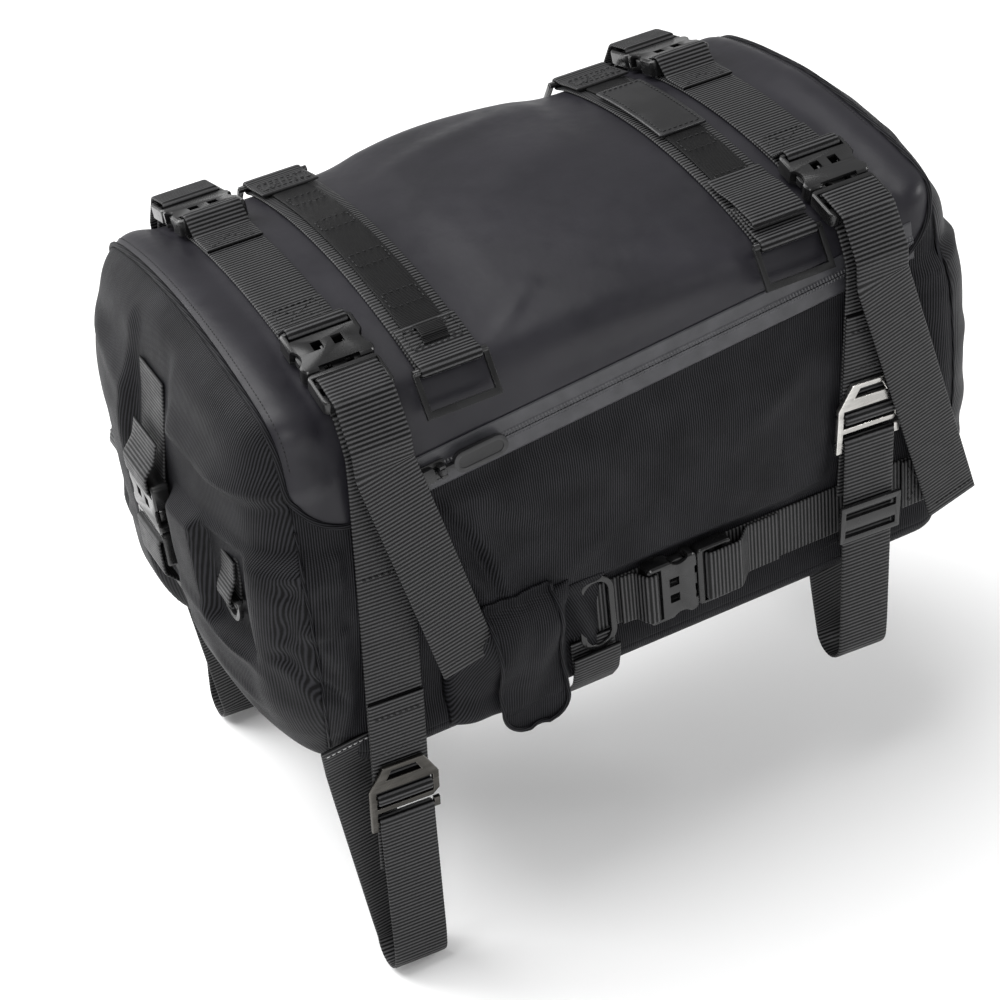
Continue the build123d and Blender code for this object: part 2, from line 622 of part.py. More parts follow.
def end_web():
    """Strap down the rear end: from the top seam through its buckle to the lower patch."""
    top = [
        (LENGTH / 2 + 1.4, CROWN_Z - 46),
        (LENGTH / 2 + 2.6, CROWN_Z - 66),
        end_local(SLOT_U - 6, UNDER_W),
        end_local(SLOT_U, UNDER_W),
        end_local(SLOT_U, OVER_W),
        end_local(SLOT_U - 12, OVER_W),
        end_local(SLOT_U - 18, OVER_W - 7),
    ]
    bottom = [
        end_local(PLUG_LEN + 14, OVER_W - 8),
        end_local(PLUG_LEN + 6, OVER_W),
        end_local(PLUG_SLOT_U, OVER_W),
        end_local(PLUG_SLOT_U, UNDER_W),
        end_local(PLUG_LEN + 4, UNDER_W),
        (LENGTH / 2 + 2.0, 72),
        (LENGTH / 2 + 1.4, 50),
    ]
    return [ribbon(path, WEB_WIDTH, xz_plane(4), radius=1.6) for path in (top, bottom)]


def ring_loops():
    """Webbing loops that carry the two D rings, drawn on the rear end."""
    straps = []
    for y in D_RING_Y:
        x = LENGTH / 2 + 6.5
        loop = [
            (LENGTH / 2 + 1.4, D_RING_Z + 30),
            (LENGTH / 2 + 1.4, D_RING_Z + 14),
            (x - 3.6, D_RING_Z),
            (x - 3.0, D_RING_Z - 3.0),
            (x, D_RING_Z - 4.2),
            (x + 3.0, D_RING_Z - 3.0),
            (x + 4.2, D_RING_Z),
            (x + 3.0, D_RING_Z + 4),
            (x - 0.6, D_RING_Z + 14),
            (x - 2.6, D_RING_Z + 26),
        ]
        straps.append(ribbon(loop, 20, xz_plane(y), radius=1.8))
    return straps


def d_ring(y):
    """D-shaped ring hanging from its webbing loop on the rear end."""
    x = LENGTH / 2 + 6.5
    bow = extrude(Circle(17), 1.5, both=True) & box((-40, 40), (-40, 3), (-5, 5))
    bow += box((-17, 17), (-2, 3), (-1.5, 1.5))
    inner = extrude(Circle(13.2), 9, both=True) & box((-40, 40), (-40, -2.2), (-9, 9))
    bow -= inner
    bow -= box((-13, 13), (-2.3, 9), (-9, 9))
    bow += Rot(0, 90, 0) * Cylinder(RING_ROD, 30)
    place = Plane(origin=(x, y, D_RING_Z), x_dir=(0, 1, 0), z_dir=(1, 0, 0))
    return place * bow


def make_ends():
    """Straps, buckles and rings on the two ends."""
    webs = end_web()
    front = [mirror_x(web) for web in webs + ring_loops()]
    save("end_webs", Compound(children=webs + front))
    frame = Plane(origin=(LENGTH / 2 + END_BOW - 12, 4, END_LATCH_Z), x_dir=(0, 0, -1), z_dir=(1, 0, 0))
    root = box((-LATCH_GAP - 1, LATCH_GAP + 1), (9.5, 13), ARM_W)
    closed = [socket_body(), plug_body() + plug_prong() + mirror_y(plug_prong()) + root + mirror_y(root)]
    rear = [frame * piece for piece in closed]
    save("end_buckles", Compound(children=rear + [mirror_x(piece) for piece in rear]))
    save("front_d_rings", Compound(children=[mirror_x(d_ring(y)) for y in D_RING_Y]))


def make_low():
    """Low strap, its buckle, ring and the pocket."""
    save("low_strap", low_strap())
    place_buckle("low", low_frame())
    save("low_ring", low_ring())
    save("corner_pocket", pocket())
    near = triglide(REAR_STRAP_X)
    save("rear_triglides", Compound(children=[near, mirror_y(near)]))


os.makedirs("parts", exist_ok=True)
make_body()
make_slider()
make_straps()
make_strips()
make_low()
make_ends()
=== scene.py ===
# %% [markdown]
# # A motorcycle tail bag
# The bag is a stuffed cloth shell with webbing, buckles and hooks strapped over it. Every moving or
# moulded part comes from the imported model. This notebook adds the cloth, the webbing and the finishes,
# and each shape is a surface worked out with numpy, so that it can be read as a formula.
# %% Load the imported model
import json

import bmesh
import bpy
import numpy as np
from mathutils import Matrix, Vector


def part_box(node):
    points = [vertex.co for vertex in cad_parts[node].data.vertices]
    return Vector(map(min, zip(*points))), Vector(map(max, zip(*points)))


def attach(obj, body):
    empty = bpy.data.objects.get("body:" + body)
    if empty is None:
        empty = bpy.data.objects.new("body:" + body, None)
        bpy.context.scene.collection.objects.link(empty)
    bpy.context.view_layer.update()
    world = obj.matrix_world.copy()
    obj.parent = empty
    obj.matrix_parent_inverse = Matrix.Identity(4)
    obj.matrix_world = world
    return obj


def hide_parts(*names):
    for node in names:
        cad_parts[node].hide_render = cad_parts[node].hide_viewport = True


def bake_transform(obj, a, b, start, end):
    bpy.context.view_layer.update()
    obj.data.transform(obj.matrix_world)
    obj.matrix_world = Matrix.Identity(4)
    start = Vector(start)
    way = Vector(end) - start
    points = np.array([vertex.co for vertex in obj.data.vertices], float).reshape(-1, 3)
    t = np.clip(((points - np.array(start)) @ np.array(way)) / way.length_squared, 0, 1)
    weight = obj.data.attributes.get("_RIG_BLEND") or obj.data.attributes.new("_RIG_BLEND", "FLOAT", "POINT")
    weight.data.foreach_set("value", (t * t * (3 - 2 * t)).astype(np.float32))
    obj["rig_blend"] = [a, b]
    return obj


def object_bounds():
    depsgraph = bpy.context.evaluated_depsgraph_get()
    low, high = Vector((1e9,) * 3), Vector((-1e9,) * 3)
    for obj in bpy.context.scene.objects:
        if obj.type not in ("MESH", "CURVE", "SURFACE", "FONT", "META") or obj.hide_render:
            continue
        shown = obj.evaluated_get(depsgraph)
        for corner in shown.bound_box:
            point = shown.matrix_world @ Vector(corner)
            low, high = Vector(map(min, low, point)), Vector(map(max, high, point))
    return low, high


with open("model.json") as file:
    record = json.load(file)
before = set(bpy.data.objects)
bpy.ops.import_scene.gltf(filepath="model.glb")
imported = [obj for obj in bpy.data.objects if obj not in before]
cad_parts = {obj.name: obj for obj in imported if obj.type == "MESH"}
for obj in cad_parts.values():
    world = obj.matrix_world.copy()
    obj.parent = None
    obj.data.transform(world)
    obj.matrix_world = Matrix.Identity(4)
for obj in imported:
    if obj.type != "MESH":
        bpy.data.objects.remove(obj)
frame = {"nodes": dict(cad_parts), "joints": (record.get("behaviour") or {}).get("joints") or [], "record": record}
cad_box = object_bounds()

NODES = frame["nodes"]
BODY_OF = {node: body for body, nodes in frame["record"]["behaviour"]["bodies"].items() for node in nodes}
MM = 0.001
DEG = np.pi / 180
rng = np.random.default_rng(11)


def middle(node):
    """Middle of a node's box."""
    low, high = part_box(node)
    return (low + high) / 2


# %% [markdown]
# ## Camera
# A product picture of a soft bag is taken with a long lens, from the front corner and well above it,
# so that both the lid and the zip side show. The camera is placed by its direction and distance. The
# standard view keeps the white ground white.
# %% Camera
AZIMUTH, ELEVATION, ROLL = -23.53 * DEG, 36.92 * DEG, -6.82 * DEG
DISTANCE, LENS, SENSOR = 1.66625, 90.69, 36.0
AIM = Vector((-0.04635, -0.02654, 0.07263))
back = Vector((np.sin(AZIMUTH) * np.cos(ELEVATION), -np.cos(AZIMUTH) * np.cos(ELEVATION), np.sin(ELEVATION)))
right = (-back).cross(Vector((0, 0, 1))).normalized()
up = right.cross(-back)
turned_right = right * np.cos(ROLL) + up * np.sin(ROLL)
turned_up = up * np.cos(ROLL) - right * np.sin(ROLL)
camera = bpy.data.objects.new("camera", bpy.data.cameras.new("camera"))
bpy.context.scene.collection.objects.link(camera)
camera.data.lens, camera.data.sensor_width = LENS, SENSOR
camera.matrix_world = Matrix.Translation(AIM + back * DISTANCE) @ Matrix(
    (turned_right, turned_up, back)).transposed().to_4x4()
bpy.context.scene.camera = camera
bpy.context.scene.view_settings.view_transform = "Standard"
print("camera", DISTANCE, "m away")

# %% [markdown]
# ## Finishes
# The bag has two cloths: a smooth coated one on the lid and a fine ribbed twill below. The webbing is
# woven in strong cross ribs, the buckles are satin black plastic, the front hooks are gunmetal and the
# rear ones nickel. Each finish is a shader with its own grain, read from the piece's own UV map, which
# holds distances in metres, or from object coordinates on the moulded parts and the threads.
# %% Shader helpers
def finish(name, color, rough, metal=0.0, specular=0.5):
    """A principled material with constant values on the shader's own sockets."""
    mat = bpy.data.materials.new(name)
    mat.use_nodes = True
    shader = mat.node_tree.nodes["Principled BSDF"]
    values = {"Base Color": (*color, 1), "Roughness": rough, "Metallic": metal,
              "Specular IOR Level": specular}
    for key, value in values.items():
        shader.inputs[key].default_value = value
    return mat, mat.node_tree, shader


def node(tree, kind, **inputs):
    """Add a shader node and set its inputs by name, underscores standing for spaces."""
    made = tree.nodes.new("ShaderNode" + kind)
    for key, value in inputs.items():
        made.inputs[key.replace("_", " ")].default_value = value
    return made


def coords(tree, from_uv, stretch=(1, 1, 1), turn=0.0):
    """Pattern coordinates in metres, stretched and turned."""
    source = tree.nodes.new("ShaderNodeTexCoord")
    mapping = node(tree, "Mapping", Scale=stretch, Rotation=(0, 0, turn))
    tree.links.new(source.outputs["UV" if from_uv else "Object"], mapping.inputs["Vector"])
    return mapping.outputs["Vector"]


def noise(tree, vector, scale, detail=3.0):
    """Noise whose features are about 1/scale metres."""
    made = node(tree, "TexNoise", Scale=scale, Detail=detail, Roughness=0.55)
    tree.links.new(vector, made.inputs["Vector"])
    return made.outputs["Fac"]


WAVE_PERIOD = 2 * np.pi / 20  # a band wave of scale 1 repeats after this many units


def bands(tree, vector, pitch, distortion=0.0, axis="X"):
    """Parallel bands a pitch apart, in metres."""
    made = node(tree, "TexWave", Scale=WAVE_PERIOD / pitch, Distortion=distortion)
    made.bands_direction = axis
    tree.links.new(vector, made.inputs["Vector"])
    return made.outputs["Fac"]


def mix_colors(tree, fac, dark, light, low=0.3, high=0.7):
    """Colours between dark and light as fac goes from low to high."""
    ramp = tree.nodes.new("ShaderNodeValToRGB")
    ramp.color_ramp.elements[0].position, ramp.color_ramp.elements[0].color = low, (*dark, 1)
    ramp.color_ramp.elements[1].position, ramp.color_ramp.elements[1].color = high, (*light, 1)
    tree.links.new(fac, ramp.inputs["Fac"])
    return ramp.outputs["Color"]


def math_node(tree, kind, a, b):
    """One arithmetic step; a and b are outputs or numbers."""
    made = tree.nodes.new("ShaderNodeMath")
    made.operation = kind
    for socket, value in zip(made.inputs, (a, b)):
        if isinstance(value, (int, float)):
            socket.default_value = value
        else:
            tree.links.new(value, socket)
    return made.outputs[0]


def weighted(tree, a, a_share, b, b_share):
    """Weighted sum of two outputs."""
    first = math_node(tree, "MULTIPLY", a, a_share)
    second = math_node(tree, "MULTIPLY", b, b_share)
    return math_node(tree, "ADD", first, second)


def bump(tree, shader, height, depth, strength=1.0):
    """Bump the surface by height times depth, in metres, on top of any bump that is there."""
    made = node(tree, "Bump", Strength=strength, Distance=depth)
    tree.links.new(height, made.inputs["Height"])
    before = shader.inputs["Normal"].links
    if before:
        tree.links.new(before[0].from_socket, made.inputs["Normal"])
    tree.links.new(made.outputs["Normal"], shader.inputs["Normal"])


def rough_range(tree, shader, fac, low, high):
    """Roughness that follows fac between two values."""
    made = node(tree, "MapRange", To_Min=low, To_Max=high, From_Min=0.3, From_Max=0.7)
    tree.links.new(fac, made.inputs["Value"])
    tree.links.new(made.outputs["Result"], shader.inputs["Roughness"])


# %% [markdown]
# The cloths. The coated one is a polyurethane film: a faint pebble grain, broad soft sheen, a cast of
# purple. The twill is a row of fine ribs with a painted highlight on each crest and painted shade
# between, so its colour and its bump come from the same bands.
# %% Cloth finishes
RIB = 2.7 * MM  # pitch of the webbing's ribs
TWILL_RIB, TWILL_CROSS = 1.55 * MM, 0.8 * MM


def coated_cloth():
    """Smooth coated cloth of the lid."""
    mat, tree, shader = finish("coated_cloth", (0.014, 0.013, 0.017), 0.45, specular=0.33)
    vector = coords(tree, True)
    broad = noise(tree, vector, 14, 4)
    tree.links.new(mix_colors(tree, broad, (0.011, 0.0105, 0.014), (0.017, 0.016, 0.021)),
                   shader.inputs["Base Color"])
    rough_range(tree, shader, noise(tree, vector, 60, 5), 0.38, 0.52)
    bump(tree, shader, noise(tree, vector, 1500, 2), 0.00012, 0.35)
    bump(tree, shader, noise(tree, vector, 45, 3), 0.0012, 0.25)
    return mat


def twill_cloth():
    """Black nylon with fine upright ribs, a painted highlight on each rib's crest and painted shade between."""
    mat, tree, shader = finish("twill_cloth", (0.006, 0.006, 0.007), 0.6, specular=0.10)
    vector = coords(tree, True, turn=0.10)
    rib = bands(tree, vector, TWILL_RIB, distortion=0.3)
    cross = bands(tree, vector, TWILL_CROSS, axis="Y")
    weave = weighted(tree, rib, 0.72, cross, 0.28)
    # painted highlight on the rib crests and painted shade in the grooves, varied by a random tone from the noise
    tone_and_painted_highlight = math_node(tree, "MULTIPLY", weave, math_node(tree, "ADD", noise(tree, vector, 30, 5), 0.5))
    tree.links.new(mix_colors(tree, tone_and_painted_highlight, (0.0012, 0.0012, 0.0016), (0.028, 0.028, 0.032), 0.30, 0.95),
                   shader.inputs["Base Color"])
    rough_range(tree, shader, noise(tree, vector, 25, 4), 0.45, 0.62)
    bump(tree, shader, weave, 0.00030, 0.9)
    bump(tree, shader, noise(tree, vector, 55, 3), 0.0016, 0.35)
    return mat


def webbing_cloth(name, tone=1.0, rib_pitch=None):
    """Polyester webbing: fuzzy yarns, with a painted highlight along each rib's crest and painted shade between. A
    rib pitch given here is also a bump.
    """
    mat, tree, shader = finish(name, (0.008, 0.008, 0.0085), 0.45, specular=0.16)
    vector = coords(tree, True)
    yarn = bands(tree, vector, 0.9 * MM, distortion=1.5)
    fuzz = noise(tree, vector, 700, 3)
    mixed = weighted(tree, yarn, 0.35, fuzz, 0.65)
    rib = bands(tree, vector, rib_pitch or RIB, axis="Y")
    # painted highlight on the rib crests and painted shade between them, with the yarn texture mixed in
    rib_crest_highlight = math_node(tree, "MULTIPLY", rib, math_node(tree, "ADD", mixed, 0.5))
    light = tuple(c * tone for c in (0.072, 0.072, 0.074))
    dark = tuple(c * tone for c in (0.0016, 0.0016, 0.0018))
    tree.links.new(mix_colors(tree, rib_crest_highlight, dark, light, 0.28, 1.0), shader.inputs["Base Color"])
    rough_range(tree, shader, noise(tree, vector, 90, 4), 0.34, 0.52)
    bump(tree, shader, mixed, 0.00016, 0.7)
    if rib_pitch:
        bump(tree, shader, bands(tree, vector, rib_pitch, axis="Y"), 0.0004, 0.8)
    return mat


COATED = coated_cloth()
TWILL = twill_cloth()
WEBBING = webbing_cloth("ribbed_webbing")
DARK_WEBBING = webbing_cloth("flat_dark_webbing", 0.32, 1.2 * MM)


# %% [markdown]
# The hard parts. Moulded plastic has a fine spark-eroded grain and plated steel has faint brushing;
# every edge is painted lighter as a painted highlight. These read object coordinates, because the
# moulded parts have no UV map.
# %% Moulded and metal finishes
def moulded(name, color, rough, grain=900, metal=0.0, brush=(1, 1, 1)):
    """A hard finish with a fine grain, slight stains in the gloss and edges painted lighter as a painted
    highlight.
    """
    mat, tree, shader = finish(name, color, rough, metal=metal)
    vector = coords(tree, False, brush)
    fine = noise(tree, vector, grain, 2)
    stain = noise(tree, vector, 40, 5)
    geometry = tree.nodes.new("ShaderNodeNewGeometry")
    # pointiness lights up every edge: a painted highlight; the stain noise is a real random tone
    edge = math_node(tree, "MULTIPLY", math_node(tree, "SUBTRACT", geometry.outputs["Pointiness"], 0.5), 6.0)
    tone_and_painted_highlight = math_node(tree, "ADD", math_node(tree, "MULTIPLY", stain, 0.6), edge)
    light = tuple(min(1.0, c * 1.5 + 0.010) for c in color)
    dark = tuple(c * 0.75 for c in color)
    tree.links.new(mix_colors(tree, tone_and_painted_highlight, dark, light), shader.inputs["Base Color"])
    rough_range(tree, shader, stain, rough * 0.82, min(1.0, rough * 1.2))
    bump(tree, shader, fine, 0.00008, 0.5)
    return mat


PLASTIC = moulded("moulded_plastic", (0.0035, 0.0035, 0.0038), 0.27)
RUBBER = moulded("soft_rubber", (0.008, 0.008, 0.009), 0.42, 500)
GUNMETAL = moulded("gunmetal_plate", (0.060, 0.057, 0.052), 0.26, 1200, 1.0, (1, 1, 6))
NICKEL = moulded("nickel_plate", (0.46, 0.45, 0.43), 0.28, 1200, 1.0, (1, 1, 6))


def tape_cloth():
    """Coated zip tape, greyer than the cloth round it."""
    mat, tree, shader = finish("zip_tape_cloth", (0.045, 0.045, 0.05), 0.40)
    vector = coords(tree, True)
    tree.links.new(mix_colors(tree, noise(tree, vector, 80, 4), (0.028, 0.028, 0.032), (0.050, 0.050, 0.056)),
                   shader.inputs["Base Color"])
    bump(tree, shader, noise(tree, vector, 900, 2), 0.0001, 0.5)
    return mat


def thread(name, color):
    """Sewing thread."""
    mat, tree, shader = finish(name, color, 0.6)
    bump(tree, shader, noise(tree, coords(tree, False), 3000, 2), 0.0001, 0.8)
    return mat


TAPE = tape_cloth()
THREAD = thread("black_thread", (0.010, 0.010, 0.011))
PALE_THREAD = thread("pale_thread", (0.55, 0.55, 0.55))
print(len(bpy.data.materials), "finishes")


# %% [markdown]
# ## Making a mesh from arrays
# A surface is an array of points on a grid. One helper joins the grid into faces, gives it a UV map in
# metres, files it under its body and hides the nodes that it stands for.
# %% Mesh helpers
def grid_faces(rows, columns, wrap_columns=False):
    """Corner numbers of every cell of a grid, four to a cell. The columns may close into a loop."""
    r = np.arange(rows - 1)
    c = np.arange(columns if wrap_columns else columns - 1)
    a, b = np.meshgrid(r, c, indexing="ij")
    b2 = (b + 1) % columns
    here, above = a * columns, (a + 1) * columns
    return np.stack([here + b, here + b2, above + b2, above + b], -1).reshape(-1, 4)


def make_piece(name, points, faces, mat, body="root", slot=None, nodes=(), uv=None):
    """A mesh object from points (n, 3), a list of face corner arrays and a UV pair for each point."""
    mesh = bpy.data.meshes.new(name)
    mesh.from_pydata(points.tolist(), [], [list(map(int, face)) for face in faces])
    mesh.polygons.foreach_set("use_smooth", np.ones(len(mesh.polygons), bool))
    if uv is not None:
        corner = np.zeros(len(mesh.loops), np.int32)
        mesh.loops.foreach_get("vertex_index", corner)
        mesh.uv_layers.new(name="UVMap").data.foreach_set("uv", uv[corner].astype(np.float32).ravel())
    mesh.materials.append(mat)
    piece = bpy.data.objects.new(name, mesh)
    bpy.context.scene.collection.objects.link(piece)
    if body:
        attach(piece, body)
    if nodes:
        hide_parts(*nodes)
    mesh.update()
    return piece


def lengths_along(path):
    """Distance of each point of a path (n, 3) from its start."""
    return np.r_[0, np.cumsum(np.linalg.norm(np.diff(path, axis=0), axis=1))]


def resample(path, step):
    """The same path with points an equal step apart; extra columns are carried along."""
    run = lengths_along(path[:, :3])
    count = max(3, int(round(run[-1] / step)) + 1)
    at = np.linspace(0, run[-1], count)
    return np.stack([np.interp(at, run, column) for column in path.T], -1)


def soften(path, step, radius):
    """A bent path rounded off: every point becomes the bell-weighted average of its neighbours along it."""
    path = resample(np.asarray(path, float), step)
    reach = int(3 * radius / step)
    weights = np.exp(-0.5 * (np.arange(-reach, reach + 1) * step / radius) ** 2)
    weights /= weights.sum()
    head = 2 * path[0] - path[reach:0:-1] if len(path) > reach else np.repeat(path[:1], reach, 0)
    tail = 2 * path[-1] - path[-2:-reach - 2:-1] if len(path) > reach else np.repeat(path[-1:], reach, 0)
    padded = np.r_[head, path, tail]
    return np.stack([np.convolve(column, weights, "valid") for column in padded.T], -1)


def tangents(path):
    """Unit direction of a path at each point."""
    d = np.gradient(path, axis=0)
    return d / np.linalg.norm(d, axis=1, keepdims=True)


# %% [markdown]
# ## The form of the bag
# A stuffed bag is a cross-section carried along the length. The section is a flat base, two bulging
# sides, a straight band for the zip and a low crown. Its corners are rounded by averaging, as stuffed
# cloth rounds them. Towards each end the section shrinks round a quarter circle and closes in a dome.
# %% Cross-section
NEAR_SIDE, FAR_SIDE, BASE, LID = "near_side_panel", "far_side_panel", "base_panel", "top_panel"
HALF_WIDTH = -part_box(NEAR_SIDE)[0].y
HALF_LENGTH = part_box("rear_end_panel")[1].x
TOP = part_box(LID)[1].z
BASE_HALF, FLAT_HALF, SHOULDER_HALF = HALF_WIDTH - 16 * MM, HALF_WIDTH - 1 * MM, HALF_WIDTH - 12 * MM
BULGE_Z, FLAT_Z, SHOULDER_Z = 95 * MM, 185 * MM, TOP - 20 * MM
CROWN_R = (SHOULDER_HALF ** 2 + (TOP - SHOULDER_Z) ** 2) / (2 * (TOP - SHOULDER_Z))
CORNER_SOFTNESS = 11 * MM
OUTLINE_POINTS = 1200
SOFTENED_SPAN = 60  # points that each average takes in on either side


def half_section():
    """Half outline: base, side as the parabola through three widths, straight band, crown arc."""
    z = np.linspace(0, FLAT_Z, 60)
    widths, heights = (BASE_HALF, HALF_WIDTH, FLAT_HALF), (0, BULGE_Z, FLAT_Z)
    side = np.polyval(np.polyfit(heights, widths, 2), z)
    angle = np.linspace(np.arcsin(SHOULDER_HALF / CROWN_R), 0, 60)
    crown = np.stack([CROWN_R * np.sin(angle), TOP - CROWN_R + CROWN_R * np.cos(angle)], -1)
    return np.r_[[[0, 0]], np.stack([side, z], -1), crown]


def closed_section():
    """Whole outline, near side first, its corners rounded by a bell-weighted average round the loop."""
    half = half_section()
    loop = np.r_[half * (-1, 1), half[-2::-1]]
    around = np.sum(np.linalg.norm(np.diff(loop, axis=0), axis=1))
    loop = resample(np.c_[loop, np.zeros(len(loop))], around / OUTLINE_POINTS)
    loop = loop[:-1, :2]
    step = np.linalg.norm(loop[1] - loop[0])
    offsets = np.arange(-SOFTENED_SPAN, SOFTENED_SPAN + 1)
    weights = np.exp(-0.5 * (offsets * step / CORNER_SOFTNESS) ** 2)
    indices = (np.arange(len(loop))[:, None] + offsets) % len(loop)
    return (loop[indices] * (weights / weights.sum())[None, :, None]).sum(1)


SECTION = closed_section()
PERIMETER = np.linalg.norm(np.diff(np.r_[SECTION, SECTION[:1]], axis=0), axis=1).sum()
T = np.arange(len(SECTION)) / len(SECTION)
MID_Z = TOP / 2
print("round the bag", round(PERIMETER, 3), "m")


def section(t):
    """(y, z) of the outline at a share t of its length; t runs from the base up the near side."""
    return tuple(np.interp(np.mod(t, 1), T, column, period=1) for column in SECTION.T)


def share_at(z, far=False):
    """Share t at which the near or far side has height z."""
    half = T < 0.5
    t = np.interp(z, SECTION[half, 1], T[half])
    return 1 - t if far else t


# %% Lengthwise form
CORNER_R = 44 * MM
STRAIGHT = HALF_LENGTH - CORNER_R
CORNER_TURN = 70 * DEG
CORNER_END = STRAIGHT + CORNER_R * CORNER_TURN
CAP_RUN = 100 * MM
END_DOME = 15 * MM
V_MAX = CORNER_END + CAP_RUN


def plain_body(t, v):
    """Point of the unwrinkled bag. v is the run along it: straight, round the corner, then over the dome."""
    a, side = np.abs(v), np.sign(v)
    turn = np.clip((a - STRAIGHT) / CORNER_R, 0, CORNER_TURN)
    closing = np.clip((a - CORNER_END) / CAP_RUN, 0, 1)
    x = np.minimum(a, STRAIGHT) + CORNER_R * np.sin(turn) + END_DOME * (1 - (1 - closing) ** 2.6)
    inset = CORNER_R * (1 - np.cos(turn))
    y, z = section(t)
    y = y * (1 - inset / HALF_WIDTH) * (1 - closing)
    z = MID_Z + (z - MID_Z) * (1 - inset / MID_Z) * (1 - closing)
    return np.stack(np.broadcast_arrays(side * x, y, z), -1)


# %% [markdown]
# ## Fullness and creases
# Where nothing holds the cloth it swells: between the straps, along the zip side and at the corners.
# Under a strap it stays down. Creases run from where the cloth is pulled, and each is a segment with a
# raised bell profile between two shallow valleys. All of it moves the plain surface along its normal.
# %% Where the cloth swells
FRONT_X, REAR_X = middle("front_top_web").x, middle("rear_top_web").x
STRIP_FRONT_X, STRIP_REAR_X = middle("front_strip").x, middle("rear_strip").x
HANG_Z = 233 * MM
STRAP_LEAN = 4.0 * DEG
ZIP_SLOPE = np.tan(5.07 * DEG) * 0.99
ZIP_X, ZIP_Z = 5 * MM, 218 * MM
ZIP_TAPE = 12 * MM
LOW_STRAP_Z = 57 * MM
END_MID_Y = 4 * MM
D_RING_Y = {"near": -88 * MM, "far": 98 * MM}
SEAM_X = 225 * MM
SEAM_V = STRAIGHT + CORNER_R * np.arcsin((SEAM_X - STRAIGHT) / CORNER_R)


def rise(u):
    """Smooth step from 0 to 1 as u goes from 0 to 1."""
    u = np.clip(u, 0, 1)
    return u * u * (3 - 2 * u)


def between(u, low, high, edge):
    """1 between low and high, falling smoothly to 0 over edge on both sides."""
    return rise((u - low + edge) / edge) * rise((high + edge - u) / edge)


def zip_z(x):
    """Height of the zip's line."""
    return ZIP_Z + (x - ZIP_X) * ZIP_SLOPE


def strap_x(x0, z):
    """Middle of a hanging strap at height z."""
    return x0 - np.clip(HANG_Z - z, 0, 1) * np.tan(STRAP_LEAN)


def held_down(p):
    """0 where a strap, the zip, a buckle or a ring holds the cloth down, 1 where it is free."""
    x, y, z = np.moveaxis(p, -1, 0)
    free = np.ones_like(x)
    for x0 in (FRONT_X, REAR_X):
        free *= 1 - between(x, strap_x(x0, z) - 19 * MM, strap_x(x0, z) + 19 * MM, 12 * MM)
    for x0 in (STRIP_FRONT_X, STRIP_REAR_X):
        free *= 1 - between(x, x0 - 19 * MM, x0 + 19 * MM, 42 * MM) * rise((z - 0.205) / 0.03)
    near = y < 0
    free *= 1 - near * between(z, zip_z(x) - 13 * MM, zip_z(x) + 13 * MM, 14 * MM)
    low_band = between(z, LOW_STRAP_Z - 20 * MM, LOW_STRAP_Z + 20 * MM, 16 * MM)
    free *= 1 - near * low_band * between(x, -0.06, 0.22, 0.02)
    at_end = rise((np.abs(x) - 0.236) / 0.012)
    free *= 1 - at_end * between(y, END_MID_Y - 23 * MM, END_MID_Y + 23 * MM, 14 * MM)
    for ring_y in D_RING_Y.values():
        spot = between(y, ring_y - 19 * MM, ring_y + 19 * MM, 10 * MM) * between(z, 0.108, 0.168, 0.014)
        free *= 1 - at_end * (x < 0) * spot
    return free


def fullness(p):
    """How far the loaded bag swells between what holds it."""
    x, y, z = np.moveaxis(p, -1, 0)
    lid = rise((z - 0.235) / 0.03)
    span = np.clip((x - STRIP_FRONT_X) / (STRIP_REAR_X - STRIP_FRONT_X), 0, 1)
    swell = 9 * MM * lid * np.sin(np.pi * span) ** 1.8 * (0.75 + 0.25 * np.clip(y / 0.13, -1, 1))
    swell += 5 * MM * lid * rise((np.abs(x) - 0.190) / 0.03)
    side = between(z, 0.095, 0.165, 0.05) * between(x, -0.105, 0.095, 0.06)
    swell += np.where(y < 0, 9 * MM, 12 * MM) * side * (np.abs(y) > 0.09)
    corner = between(z, 0.07, 0.19, 0.07) * between(np.abs(x), 0.222, 0.30, 0.03)
    swell += 9 * MM * corner
    return swell


